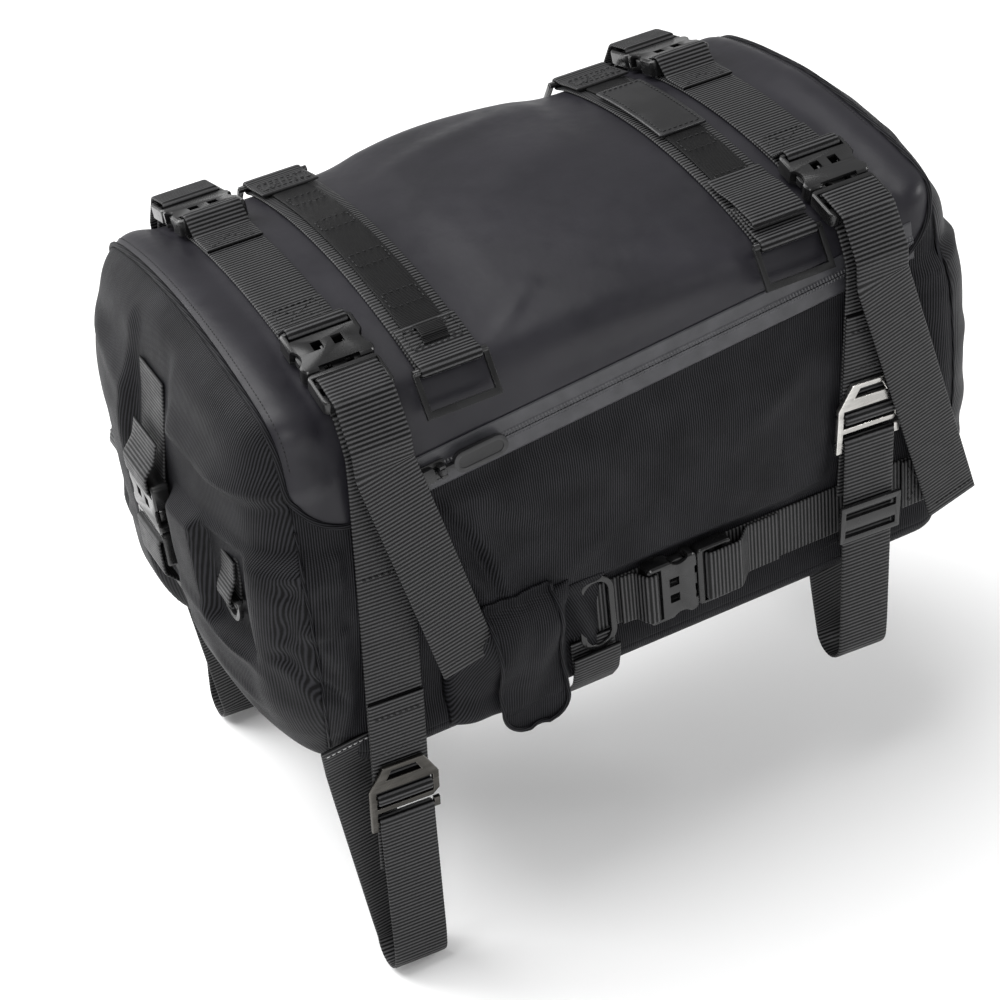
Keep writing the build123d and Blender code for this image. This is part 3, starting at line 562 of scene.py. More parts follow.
# %% Creases
CREASES = [  # start, end, half width and height before CREASE_DEPTH, all in millimetres
    ((-206, -143, 186), (-230, -133, 158), 5, -5.0), ((-230, -133, 160), (-236, -128, 108), 5, -5.5),
    ((-236, -128, 110), (-214, -142, 66), 5, -4.6), ((-208, -143, 160), (-222, -138, 128), 6, 4.5),
    ((-222, -138, 132), (-210, -143, 84), 6, 4.5), ((-204, -143, 128), (-226, -136, 118), 4, -3.6),
    ((-240, -122, 196), (-246, -112, 60), 8, 2.0), ((-128, -146, 172), (-108, -147, 100), 5, -3.0),
    ((-190, -140, 262), (-150, -60, 278), 7, 1.3), ((-205, -128, 255), (-150, -20, 281), 6, 1.1),
    ((-215, -110, 250), (-196, 20, 276), 8, 1.4), ((-210, -60, 266), (-196, 60, 276), 6, 1.2),
    ((-212, 0, 268), (-190, 90, 272), 7, 1.5), ((-215, -134, 235), (-196, -90, 262), 5, 1.3),
    ((-90, -125, 262), (-40, -95, 273), 6, 0.8), ((90, -128, 264), (30, -100, 272), 8, 0.9),
    ((192, -120, 262), (235, -60, 258), 7, 1.8), ((190, -134, 246), (232, -118, 240), 6, 1.9),
    ((192, -80, 270), (238, -10, 260), 8, 1.6), ((195, 20, 274), (236, 60, 256), 7, 1.5),
    ((140, -138, 240), (100, -133, 250), 5, 0.8), ((-80, 60, 280), (60, 100, 276), 14, 1.2),
    ((-60, -30, 284), (50, 30, 284), 20, 1.0), ((-150, -143, 195), (-128, -147, 120), 6, 2.6),
    ((-140, -143, 196), (-100, -147, 128), 7, 2.8), ((-150, -143, 190), (-146, -146, 100), 5, -2.4),
    ((-128, -143, 196), (-70, -148, 150), 9, 2.2), ((-115, -144, 150), (-98, -146, 96), 6, 2.0),
    ((-205, -142, 180), (-196, -145, 110), 8, 2.4), ((-222, -136, 190), (-205, -144, 70), 7, 2.2),
    ((-215, -140, 150), (-180, -143, 60), 6, -2.2), ((-225, -130, 120), (-200, -140, 30), 7, 2.4),
    ((-70, -145, 100), (-20, -146, 130), 8, 1.4), ((100, -147, 95), (40, -147, 130), 10, 1.2),
    ((125, -145, 190), (60, -146, 150), 9, 1.4), ((195, -141, 195), (240, -120, 150), 7, 3.0),
    ((190, -143, 160), (238, -122, 100), 8, 2.8), ((192, -143, 120), (242, -118, 60), 7, 2.4),
    ((196, -142, 205), (236, -118, 215), 6, 2.2), ((225, -138, 60), (245, -100, 120), 6, -2.0),
    ((250, -118, 225), (258, -60, 150), 8, 2.4), ((252, -110, 80), (258, -50, 120), 8, 2.2),
    ((252, 20, 80), (250, 110, 60), 8, 2.0), ((254, 30, 200), (250, 110, 230), 8, 2.0),
    ((-252, -118, 225), (-256, -30, 190), 8, 2.4), ((-250, -118, 90), (-258, -30, 110), 7, 2.2),
    ((-250, -100, 60), (-254, -30, 80), 6, 2.0), ((-252, 30, 210), (-248, 110, 230), 8, 2.2),
    ((-252, 110, 90), (-256, 30, 110), 7, 2.0), ((-248, -126, 180), (-252, -60, 170), 7, 1.8),
    ((-190, 143, 190), (-120, 146, 120), 8, 2.0), ((-150, 144, 60), (-60, 146, 110), 8, 1.8),
    ((185, 143, 190), (120, 146, 110), 8, 2.0), ((40, 146, 60), (120, 146, 120), 8, 1.6),
    ((-10, 146, 190), (60, 147, 120), 10, 1.6), ((-215, 140, 120), (-195, 143, 40), 7, 2.0),
]


CREASE_DEPTH = 1.7


def creases(p):
    """Sum over all creases of a bell across the distance to its segment, less a wider, lower bell."""
    height = np.zeros(p.shape[:-1])
    for start, end, half, rise_mm in CREASES:
        a, b = np.array(start) * MM, np.array(end) * MM
        along = np.clip(((p - a) @ (b - a)) / ((b - a) @ (b - a)), 0, 1)
        wobble = 2.5 * MM * np.sin(along * 7 + half)
        gap = np.linalg.norm(p - a - along[..., None] * (b - a), axis=-1) + wobble * (1 - 2 * along)
        fade = np.sin(np.pi * np.clip(along * 0.9 + 0.05, 0, 1)) ** 0.6
        near = (gap / (half * MM)) ** 2
        height += CREASE_DEPTH * rise_mm * MM * fade * (np.exp(-near) - 0.45 * np.exp(-near / 5))
    return height


RIPPLES = rng.normal(size=(14, 3)) * np.array([38, 45, 45])
RIPPLE_PHASE = rng.uniform(0, 2 * np.pi, 14)


def ripples(p):
    """Slow random unevenness: a sum of plane waves a few centimetres long."""
    return np.sin(p @ RIPPLES.T + RIPPLE_PHASE).sum(-1) / len(RIPPLES)


def sag(p):
    """How far the foot of the zip side hangs outwards: full near the base, nothing above 42 mm."""
    x, y, z = np.moveaxis(p, -1, 0)
    return 12 * MM * rise((0.042 - z) / 0.032) * rise((-y - 0.085) / 0.035) * between(x, -0.195, 0.215, 0.03)


def body(t, v, lift=0.0):
    """Point of the finished bag: the plain form moved along its normal by fullness, creases and ripples."""
    p = plain_body(t, v)
    e = 1e-3
    along_t = plain_body(t + e, v) - plain_body(t - e, v)
    along_v = plain_body(t, v + e * 0.5) - plain_body(t, v - e * 0.5)
    normal = np.cross(along_v, along_t)
    size = np.linalg.norm(normal, axis=-1, keepdims=True)
    normal = normal / np.maximum(size, 1e-12)
    free = held_down(p)
    soft = rise((p[..., 2] - 0.012) / 0.03)
    move = soft * (free * (fullness(p) + creases(p) + 1.6 * MM * ripples(p))) + lift
    dent = 2.2 * MM * (1 - free) * soft * rise((np.abs(p[..., 0]) - 0.247) / 0.008)
    return p + normal * (move - dent)[..., None] - sag(p)[..., None] * np.array([0.0, 1.0, 0.0])


probe = body(np.array([share_at(0.15), 0.5]), np.array([0.0, 0.0]))
print("side and lid, middle:", probe.round(4).tolist())


# %% [markdown]
# ## Panels
# Each panel is the same body function over its own patch of the two parameters, so that neighbours
# meet on shared edges. The lid's lower edge follows the zip and turns up in a quarter circle at each
# end seam. A solidify step gives the cloth its thickness inwards.
# %% Panel edges
EDGE_R = 45 * MM
ZIP_START, ZIP_STOP = FRONT_X - 4 * MM, 0.205


def corner_lift(x):
    """Height that the lid's edge gains as it turns up into the end seam: a quarter circle."""
    u = np.clip((np.abs(x) - (SEAM_X - EDGE_R)) / EDGE_R, 0, 1)
    return EDGE_R * (1 - np.sqrt(1 - u * u))


def zip_share(x, offset):
    """Share t of the line that lies offset above the zip."""
    return share_at(zip_z(x) + offset)


def cloth_edge(x):
    """Upper edge of the twill on the near side, which is the lower edge of the zip or of the lid."""
    return zip_share(x, -ZIP_TAPE + corner_lift(x))


def lid_edge(x):
    """Lower edge of the coated lid: above the zip along it, and down to the twill beyond its ends."""
    in_zip = rise((x - ZIP_START) / (6 * MM)) * rise((ZIP_STOP - x) / (6 * MM))
    return cloth_edge(x) + (zip_share(x, ZIP_TAPE) - cloth_edge(x)) * in_zip


def x_of(v):
    """Distance along the bag of a run v."""
    turn = np.clip((np.abs(v) - STRAIGHT) / CORNER_R, 0, CORNER_TURN)
    return np.sign(v) * (np.minimum(np.abs(v), STRAIGHT) + CORNER_R * np.sin(turn))


FAR_SEAM_Z, BASE_SEAM_Z = 215 * MM, 16 * MM
FAR_SEAM = share_at(FAR_SEAM_Z, far=True)
BASE_NEAR = share_at(BASE_SEAM_Z)
BASE_FAR = share_at(BASE_SEAM_Z, far=True)
CLOTH = 2 * MM


def face_out(piece):
    """Turn an open surface so that its faces look away from the middle of the bag."""
    mesh = piece.data
    inside = Vector((0, 0, MID_Z))
    facing = sum((f.center - inside).dot(f.normal) * f.area for f in mesh.polygons)
    if facing < 0:
        mesh.flip_normals()


def thicken(piece, thickness):
    """Give an open surface a wall on its inner side."""
    solid = piece.modifiers.new("thickness", "SOLIDIFY")
    solid.thickness, solid.offset, solid.use_even_offset = thickness, -1, True
    solid.use_quality_normals = True


def panel(name, low, high, columns, rows, mat, slot, nodes, ride="root"):
    """A patch of the body between two edges, each a share t as a function of x."""
    v = np.linspace(-SEAM_V, SEAM_V, columns)
    w = np.linspace(0, 1, rows)[:, None]
    t = low(x_of(v)) * (1 - w) + high(x_of(v)) * w
    points = body(t, np.broadcast_to(v, t.shape)).reshape(-1, 3)
    uv = np.stack([np.broadcast_to(v, t.shape), t * PERIMETER], -1).reshape(-1, 2)
    piece = make_piece(name, points, grid_faces(rows, columns), mat, ride, slot, nodes, uv)
    face_out(piece)
    thicken(piece, CLOTH)
    return piece


def level(share):
    """An edge at a constant share t."""
    return lambda x: share + 0 * x


# %% Sew the panels
COATED_SLOT, CLOTH_SLOT = "coated_fabric", "woven_fabric"
lid = panel("coated_lid", lid_edge, level(FAR_SEAM), 230, 170, COATED, COATED_SLOT, [LID])
panel("far_side_cloth", level(FAR_SEAM), level(BASE_FAR), 200, 90, TWILL, CLOTH_SLOT, [FAR_SIDE])
panel("base_cloth", level(BASE_FAR - 1), level(BASE_NEAR), 120, 90, TWILL, CLOTH_SLOT, [BASE])
near_side = panel("near_side_cloth", level(BASE_NEAR), cloth_edge, 230, 110, TWILL, CLOTH_SLOT,
                  [NEAR_SIDE, "mouth_flap"], ride=None)


END_RINGS, END_SPOKES = 54, 300


def end_panel(name, side, nodes):
    """End of the bag: rings that shrink from the seam to a centre point, closed by a fan."""
    v = side * (SEAM_V + (V_MAX - SEAM_V) * np.linspace(0, 0.985, END_RINGS))[:, None]
    t = np.arange(END_SPOKES) / END_SPOKES
    points = body(*np.broadcast_arrays(t, v)).reshape(-1, 3)
    points = np.r_[points, points[-END_SPOKES:].mean(0, keepdims=True)]
    faces = grid_faces(END_RINGS, END_SPOKES, wrap_columns=True).tolist()
    last = (END_RINGS - 1) * END_SPOKES
    faces += [[last + i, last + (i + 1) % END_SPOKES, len(points) - 1] for i in range(END_SPOKES)]
    uv = points[:, 1:] * (side, 1)
    piece = make_piece(name, points, faces, TWILL, "root", CLOTH_SLOT, nodes, uv)
    face_out(piece)
    thicken(piece, CLOTH)


end_panel("front_end_cloth", -1, ["front_end_panel"])
end_panel("rear_end_cloth", 1, ["rear_end_panel"])
print("panels:", [round(d, 3) for d in lid.dimensions], [round(d, 3) for d in near_side.dimensions])


# %% [markdown]
# ## The mouth
# The cloth under the zip folds outwards when the bag is open. The panel and the lower zip tape follow
# two bodies: the rest of the bag, and the mouth, which turns about a line across the side. The share
# that a point takes of the mouth's turn rises above that line and fades towards the two ends, so the
# opening bows like a lip and nothing tears.
# %% Bend with the mouth
MOUTH_LOW, MOUTH_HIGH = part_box("mouth_flap")
MOUTH_JOINT = next(j for j in frame["joints"] if j["child"] == "mouth")
HINGE = Vector(MOUTH_JOINT["pos_m"])
LIP_FADE = 60 * MM
SLIDER_CLEAR = 10 * MM  # what stays still at each end, for the slider and its puller


def bend_with_mouth(piece):
    """Blend the piece between root and mouth, and narrow the blend to the width of the mouth."""
    reach = Vector((0, 0, 24 * MM))
    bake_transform(piece, "root", "mouth", start=HINGE - reach * 0.3, end=HINGE + reach)
    mesh = piece.data
    share = mesh.attributes["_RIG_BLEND"].data
    count = len(mesh.vertices)
    values, points = np.zeros(count, np.float32), np.zeros(3 * count, np.float32)
    share.foreach_get("value", values)
    mesh.vertices.foreach_get("co", points)
    x = points[::3]
    window = between(x, MOUTH_LOW.x + LIP_FADE, MOUTH_HIGH.x - LIP_FADE, LIP_FADE - SLIDER_CLEAR)
    share.foreach_set("value", (values * window).astype(np.float32))


bend_with_mouth(near_side)

# %% [markdown]
# ## The zip
# Two coated tapes meet over a hidden coil, which shows as fine slanting ridges along the middle. Each
# half is one strip of the body lifted a little, and its ridges are a sine along its inner edge.
# %% Zip halves
COIL_PITCH = 2.2 * MM
COIL_WIDTH = 2.8 * MM


ZIP_COLUMNS, ZIP_ROWS = 1100, 15


def zip_half(name, side, nodes):
    """Strip from the zip's line to its edge. Height is a rounded lip at the line, ridged along it."""
    x = np.linspace(ZIP_START, ZIP_STOP, ZIP_COLUMNS)
    w = np.linspace(0, 1, ZIP_ROWS)[:, None] ** 1.5
    offset = side * (0.35 * MM + w * (ZIP_TAPE - 0.2 * MM))
    t = zip_share(x, offset)
    across = np.abs(offset) / COIL_WIDTH
    lip = np.clip(1 - across ** 2, 0, 1) ** 0.5
    ridge = 0.28 * MM * np.sin(2 * np.pi * x / COIL_PITCH + 1.5 * side) * np.clip(lip * 1.4, 0, 1)
    v = np.broadcast_to(x, t.shape)
    shape = 0.5 * MM + 1.05 * MM * lip + ridge
    points = body(t, v, shape).reshape(-1, 3)
    uv = np.stack([v, t * PERIMETER], -1).reshape(-1, 2)
    piece = make_piece(name, points, grid_faces(ZIP_ROWS, ZIP_COLUMNS), TAPE, None, "zip_tape", nodes, uv)
    face_out(piece)
    thicken(piece, 1.2 * MM)
    return piece


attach(zip_half("zip_upper_tape", 1, ["zip_upper_half"]), "root")
bend_with_mouth(zip_half("zip_lower_tape", -1, ["zip_lower_half", "zip_flap_half"]))


# %% [markdown]
# ## Sewn lines
# A seam shows as a rolled edge of cloth, and a sewn line as short threads end to end. Both are small
# tubes: a ring of points carried along a path, with the path's own direction and a normal as its frame.
# %% Tubes and threads
TUBE_SIDES = 8


def tube(name, path, normal, radius, mat, slot="webbing", nodes=()):
    """Ring of points round a path, in the plane of its normal and the direction across it."""
    forward = tangents(path)
    across = np.cross(forward, normal)
    across /= np.linalg.norm(across, axis=1, keepdims=True)
    normal = np.cross(across, forward)
    angle = np.arange(TUBE_SIDES) * 2 * np.pi / TUBE_SIDES
    cosine, sine = np.cos(angle)[None, :, None], np.sin(angle)[None, :, None]
    ring = cosine * across[:, None] + sine * normal[:, None]
    points = (path[:, None] + radius * ring).reshape(-1, 3)
    faces = grid_faces(len(path), TUBE_SIDES, wrap_columns=True).tolist()
    first_end = list(range(TUBE_SIDES))
    faces += [first_end[::-1], [len(points) - TUBE_SIDES + i for i in first_end]]
    run = lengths_along(path)
    uv = np.stack(np.broadcast_arrays(angle[None] * radius, run[:, None]), -1).reshape(-1, 2)
    recalculate(make_piece(name, points, faces, mat, "root", slot, nodes, uv))


def recalculate(piece):
    """Point the faces of a closed mesh outwards."""
    mesh = bmesh.new()
    mesh.from_mesh(piece.data)
    bmesh.ops.recalc_face_normals(mesh, faces=mesh.faces)
    mesh.to_mesh(piece.data)
    mesh.free()


STITCH, STITCH_GAP, THREAD_R = 2.6 * MM, 1.1 * MM, 0.38 * MM


def stitches(name, runs, mat=THREAD, slot="webbing", size=1.0):
    """Threads along several runs of (path, normal), each a four-sided spindle laid in line."""
    starts, ends, normals = [], [], []
    for path, normal in runs:
        run = lengths_along(path)
        count = max(1, int(run[-1] / (size * (STITCH + STITCH_GAP))))
        at = (np.arange(count) + 0.5) * run[-1] / count
        for value, store in ((-STITCH, starts), (STITCH, ends)):
            place = np.clip(at + value * size / 2, 0, run[-1])
            store.append(np.stack([np.interp(place, run, column) for column in path.T], -1))
        wide = np.broadcast_to(normal, path.shape)
        normals.append(np.stack([np.interp(at, run, column) for column in wide.T], -1))
    a, b, n = (np.concatenate(part) for part in (starts, ends, normals))
    along = (b - a) / np.linalg.norm(b - a, axis=1, keepdims=True)
    side = np.cross(along, n)
    radius = THREAD_R * size
    rings = []
    for place, share in ((0.0, 0.35), (0.3, 1.0), (0.7, 1.0), (1.0, 0.35)):
        for s, h in ((1, 0.2), (0, 1.1), (-1, 0.2), (0, -0.8)):
            rings.append(a + (b - a) * place + (side * s + n * h) * radius * share)
    points = np.stack(rings, 1).reshape(-1, 3)
    cell = grid_faces(4, 4, wrap_columns=True).tolist() + [[3, 2, 1, 0], [12, 13, 14, 15]]
    faces = (np.arange(len(a))[:, None, None] * 16 + np.array(cell)).reshape(-1, 4)
    recalculate(make_piece(name, points, faces, mat, "root", slot))


def body_path(t, v, lift):
    """Points and outward normals along a line on the bag."""
    at, out = body(t, v, lift), body(t, v, lift + 1 * MM)
    normal = out - at
    return at, normal / np.linalg.norm(normal, axis=1, keepdims=True)


# %% Piping
PIPE_R = 1.9 * MM


def end_piping(side):
    """Path of the piping at one end: up the far side, over the lid, and round its corner to the zip."""
    top = np.linspace(share_at(46 * MM, far=True), zip_share(side * SEAM_X, -ZIP_TAPE + EDGE_R), 520)
    x = np.linspace(SEAM_X - 1e-5, SEAM_X - EDGE_R, 90) * side
    turn_t, turn_v = cloth_edge(x), side * np.interp(np.abs(x), [0, STRAIGHT], [0, STRAIGHT])
    beyond = np.abs(x) > STRAIGHT
    curved = STRAIGHT + CORNER_R * np.arcsin(np.clip((np.abs(x) - STRAIGHT) / CORNER_R, 0, 1))
    turn_v = np.where(beyond, side * curved, turn_v)
    t = np.r_[top, turn_t]
    v = np.r_[np.full(len(top), side * SEAM_V), turn_v]
    return body_path(t, v, 0.5 * MM)


for side, word in ((-1, "front"), (1, "rear")):
    path, normal = end_piping(side)
    even = resample(np.c_[path, normal], 2.2 * MM)
    tube(f"{word}_piping", even[:, :3], even[:, 3:], PIPE_R, TWILL, slot="piping",
         nodes=["seam_piping"] if side < 0 else ())
    shares = np.linspace(share_at(60 * MM, far=True), zip_share(side * SEAM_X, 40 * MM), 300)
    inner, inner_n = body_path(shares, np.full(len(shares), side * (SEAM_V - 5 * MM)), 0.15 * MM)
    stitches(f"{word}_seam_stitches", [(inner, inner_n)], slot="piping", size=0.8)
    down, down_n = body_path(np.linspace(share_at(18 * MM), zip_share(side * SEAM_X, 0), 120),
                             np.full(120, side * SEAM_V), 0.1 * MM)
    tube(f"{word}_side_seam", down, down_n, 0.9 * MM, TWILL, slot="piping")
print("piping and seams sewn")

# %% [markdown]
# ## Webbing
# Webbing is a flat ribbon whose cross ribs catch the light one by one, so the ribs are real: the path is
# sampled four times in every rib and the face rises as the absolute sine of the distance along it. The
# ribbon's frame comes from its path and the direction of its width. Paths are a few corner points,
# rounded by the same averaging as the bag's corners.
# %% Ribbon
WEB = 1.8 * MM
WEB_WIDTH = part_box("front_top_web")[1].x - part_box("front_top_web")[0].x
RIB_HEIGHT = 0.30 * MM
PER_RIB = 4
# Half outline of a ribbon: places across it and heights there, as shares of half its width and height.
FACE = np.array([-1.0, -0.985, -0.93, -0.6, -0.2, 0.2, 0.6, 0.93, 0.985, 1.0])
THICK = np.array([0.0, 0.62, 0.95, 1.0, 1.0, 1.0, 1.0, 0.95, 0.62, 0.0])


def ribbon(name, corners, across, width=WEB_WIDTH, thickness=WEB, radius=2.5 * MM, mat=WEBBING, ribs=True,
           slot="webbing", nodes=()):
    """Webbing along corner points (n, 3). across is the width's direction, one for all or one a corner."""
    corners = np.asarray(corners, float)
    wide = np.broadcast_to(across, corners.shape)
    path = soften(np.c_[corners, wide], RIB / PER_RIB, radius)
    path, wide = path[:, :3], path[:, 3:]
    forward = tangents(path)
    wide = wide - (wide * forward).sum(1, keepdims=True) * forward
    wide /= np.linalg.norm(wide, axis=1, keepdims=True)
    out = np.cross(wide, forward)
    run = lengths_along(path)
    rib = RIB_HEIGHT * (np.abs(np.sin(np.pi * run / RIB)) - 0.6) if ribs else 0 * run
    side = np.r_[FACE, FACE[-2:0:-1]]
    face = np.r_[THICK, -THICK[-2:0:-1]]
    lift = face[None] * (thickness / 2 + rib[:, None] * (np.abs(side) < 0.95))
    edge = width / 2 * side[None] * (1 + 0.004 * np.sin(2 * np.pi * run / RIB))[:, None]
    points = path[:, None] + edge[..., None] * wide[:, None] + lift[..., None] * out[:, None]
    count = len(side)
    faces = grid_faces(len(path), count, wrap_columns=True).tolist()
    first = list(range(count))
    faces += [first[::-1], [len(path) * count - count + i for i in first]]
    uv = np.stack(np.broadcast_arrays(side[None] * width / 2, run[:, None]), -1).reshape(-1, 2)
    recalculate(make_piece(name, points.reshape(-1, 3), faces, mat, "root", slot, nodes, uv))


def crown_point(s, h):
    """(y, z) on the lid a distance s from its middle towards the near side, h above it."""
    a = s / CROWN_R
    return np.stack([-(CROWN_R + h) * np.sin(a), TOP - CROWN_R + (CROWN_R + h) * np.cos(a)], -1)


def crown_run(s0, s1, h, count=24):
    """Points along the lid at one height."""
    return crown_point(np.linspace(s0, s1, count), h)


def at_x(yz, x):
    """(y, z) points as points of the bag at one x."""
    yz = np.asarray(yz, float)
    return np.c_[np.broadcast_to(x, len(yz)), yz]


def flip_far(points, far):
    """The same points on the far side."""
    return points * (1, -1, 1) if far else points


ALONG_X = np.array([1.0, 0, 0])
GAP = 0.3 * MM

# %% [markdown]
# The webbing over the lid loops round the bar of a buckle's socket at each end; the buckles sit where
# the model has them, so the loop's points are given in the buckle's own frame: u along it, w away from
# the lid.
# %% Top webbing
BUCKLE_AT = 109 * MM
BUCKLE_S = CROWN_R * np.arcsin(BUCKLE_AT / CROWN_R)
BUCKLE_LIFT, BUCKLE_H, SLOT_U, PLUG_U, PLUG_END = 2.6 * MM, 10.5 * MM, -29.5 * MM, 7 * MM, 26 * MM
UNDER = GAP + WEB / 2
OVER = BUCKLE_LIFT + BUCKLE_H + 0.4 * MM + WEB / 2


def buckle_point(u, w):
    """(y, z) of a point in the near buckle's frame."""
    a = BUCKLE_S / CROWN_R
    y, z = crown_point(BUCKLE_S, 0)
    return np.array([y - u * np.cos(a) - w * np.sin(a), z - u * np.sin(a) + w * np.cos(a)])


def cross_box(s0, s1, x, width, h):
    """Stitched rectangle with its diagonals on the lid between two distances from the middle."""
    half = width / 2
    lines = [((s0, -half), (s1, -half)), ((s0, half), (s1, half)), ((s0, -half), (s0, half)),
             ((s1, -half), (s1, half)), ((s0, -half), (s1, half)), ((s0, half), (s1, -half))]
    runs = []
    for (sa, xa), (sb, xb) in lines:
        s = np.linspace(sa, sb, 12)
        path = np.c_[np.linspace(x + xa, x + xb, 12), crown_point(s, h)]
        runs.append((path, np.c_[np.zeros(12), crown_point(s, h + 1) - crown_point(s, h)]))
    return runs


for end, x in (("front", FRONT_X), ("rear", REAR_X)):
    s_end = BUCKLE_S + SLOT_U
    loop = [crown_point(s_end - 38 * MM, UNDER + WEB + 0.3 * MM),
            crown_point(s_end - 16 * MM, UNDER + WEB + 0.9 * MM),
            buckle_point(SLOT_U - 7 * MM, OVER), buckle_point(SLOT_U, OVER), crown_point(s_end, UNDER)]
    half = np.array(loop)
    path = np.r_[half, crown_run(s_end - 8 * MM, -s_end + 8 * MM, UNDER), half[::-1] * (-1, 1)]
    ribbon(f"{end}_top_webbing", at_x(path, x), ALONG_X, radius=1.6 * MM, nodes=[f"{end}_top_web"])
    top = UNDER + WEB * 1.5 + 0.55 * MM
    runs = cross_box(s_end - 36 * MM, s_end - 18 * MM, x, 28 * MM, top)
    runs += cross_box(-s_end + 36 * MM, -s_end + 18 * MM, x, 28 * MM, top)
    stitches(f"{end}_top_stitches", runs)

# %% [markdown]
# ## Side straps
# Each side strap starts sewn to itself behind the hook, wraps the hook's bar, climbs the side, and goes
# through the plug at the shoulder. What is left over hangs down as a tail over the strap, swung towards
# the rear. The hanging run leans a little, so its width turns with it.
# %% Side straps
SIDE_Y = -(HALF_WIDTH + GAP + 1 * MM + WEB / 2)
RETURN_Y = SIDE_Y - WEB - GAP
PLATE_Y = RETURN_Y - WEB / 2 - GAP - 1.9 * MM
FRONT_Y = PLATE_Y - 1.9 * MM - WEB / 2
TAIL_Y = FRONT_Y - WEB - 1.5 * MM
BAR_CLEAR = 2.4 * MM + WEB / 2
HOOK_Z = {"front": -17 * MM, "rear": 131 * MM}
TUBE_Z = {"front": -150 * MM, "rear": -48 * MM}
TUBE_Y, TUBE_R, TUBE_LEAD = -147 * MM, 12.7 * MM, 12 * MM
TAIL_END = {"front": 73 * MM, "rear": 34 * MM}
TAIL_LEAN = {"front": 12 * DEG, "rear": 16 * DEG}
TAIL_PUFF = {"front": (0, -1.0, -3.0, -4.5, -5.0), "rear": (0, 0.5, 1.5, 2.5, 3.5)}  # mm, from top to end


def leaning(yz, x0, z0, angle):
    """(y, z) points turned about the bag's width at (x0, z0), with their width's new direction."""
    yz = np.asarray(yz, float)
    down = yz[:, 1] - z0
    points = np.c_[x0 + down * np.sin(angle), yz[:, 0], z0 + down * np.cos(angle)]
    return points, np.array([np.cos(angle), 0, -np.sin(angle)])


def side_strap(end, far, x, hook_z):
    """Hanging run and tail of one side strap, as one ribbon that runs through the plug."""
    name = f"{end}_{'far' if far else 'near'}"
    hanging, wide = leaning([
        (RETURN_Y, hook_z + 74 * MM), (RETURN_Y, hook_z + BAR_CLEAR), (FRONT_Y, hook_z + BAR_CLEAR),
        (FRONT_Y, hook_z - BAR_CLEAR), (SIDE_Y, hook_z - BAR_CLEAR), (SIDE_Y, HANG_Z - 12 * MM)],
        x, HANG_Z, STRAP_LEAN)
    top = at_x([(SIDE_Y, HANG_Z + 6 * MM), (SIDE_Y + 3.0 * MM, SHOULDER_Z - 13 * MM),
                buckle_point(PLUG_END + 2 * MM, UNDER), buckle_point(PLUG_U, UNDER),
                buckle_point(PLUG_U, OVER), buckle_point(PLUG_END + 5 * MM, OVER),
                (TAIL_Y, HANG_Z + 16 * MM)], x)
    lean = TAIL_LEAN[end]
    drop = np.linspace(HANG_Z, TAIL_END[end], 5)
    tail = np.c_[x + (HANG_Z - drop) * np.tan(lean), TAIL_Y + np.array(TAIL_PUFF[end]) * MM, drop]
    corners = np.r_[hanging, top, tail]
    widths = np.r_[np.tile(wide, (len(hanging), 1)), np.tile(ALONG_X, (len(top), 1)),
                   np.tile((np.cos(lean), 0, np.sin(lean)), (len(tail), 1))]
    ribbon(f"{name}_side_webbing", flip_far(corners, far), flip_far(widths, far), radius=1.7 * MM,
           nodes=[f"{name}_side_strap"])
    runs = []
    for z in (HANG_Z - 82 * MM, hook_z + 62 * MM, hook_z + 34 * MM):
        run, _ = leaning([(RETURN_Y if z < hook_z + 74 * MM else SIDE_Y, z)] * 2, x, HANG_Z, STRAP_LEAN)
        run = run + np.outer((-16 * MM, 16 * MM), wide) + (0, -(WEB / 2 + 0.55 * MM), 0)
        runs.append((flip_far(run, far), np.array([0, 1.0 if far else -1.0, 0])))
    end_run = tail[-1] + np.outer((-15 * MM, 15 * MM), (np.cos(lean), 0, np.sin(lean)))
    end_run = end_run + (0, -(WEB / 2 + 0.5 * MM), 8 * MM)
    runs.append((flip_far(end_run, far), np.array([0, 1.0 if far else -1.0, 0])))
    stitches(f"{name}_side_stitches", runs)


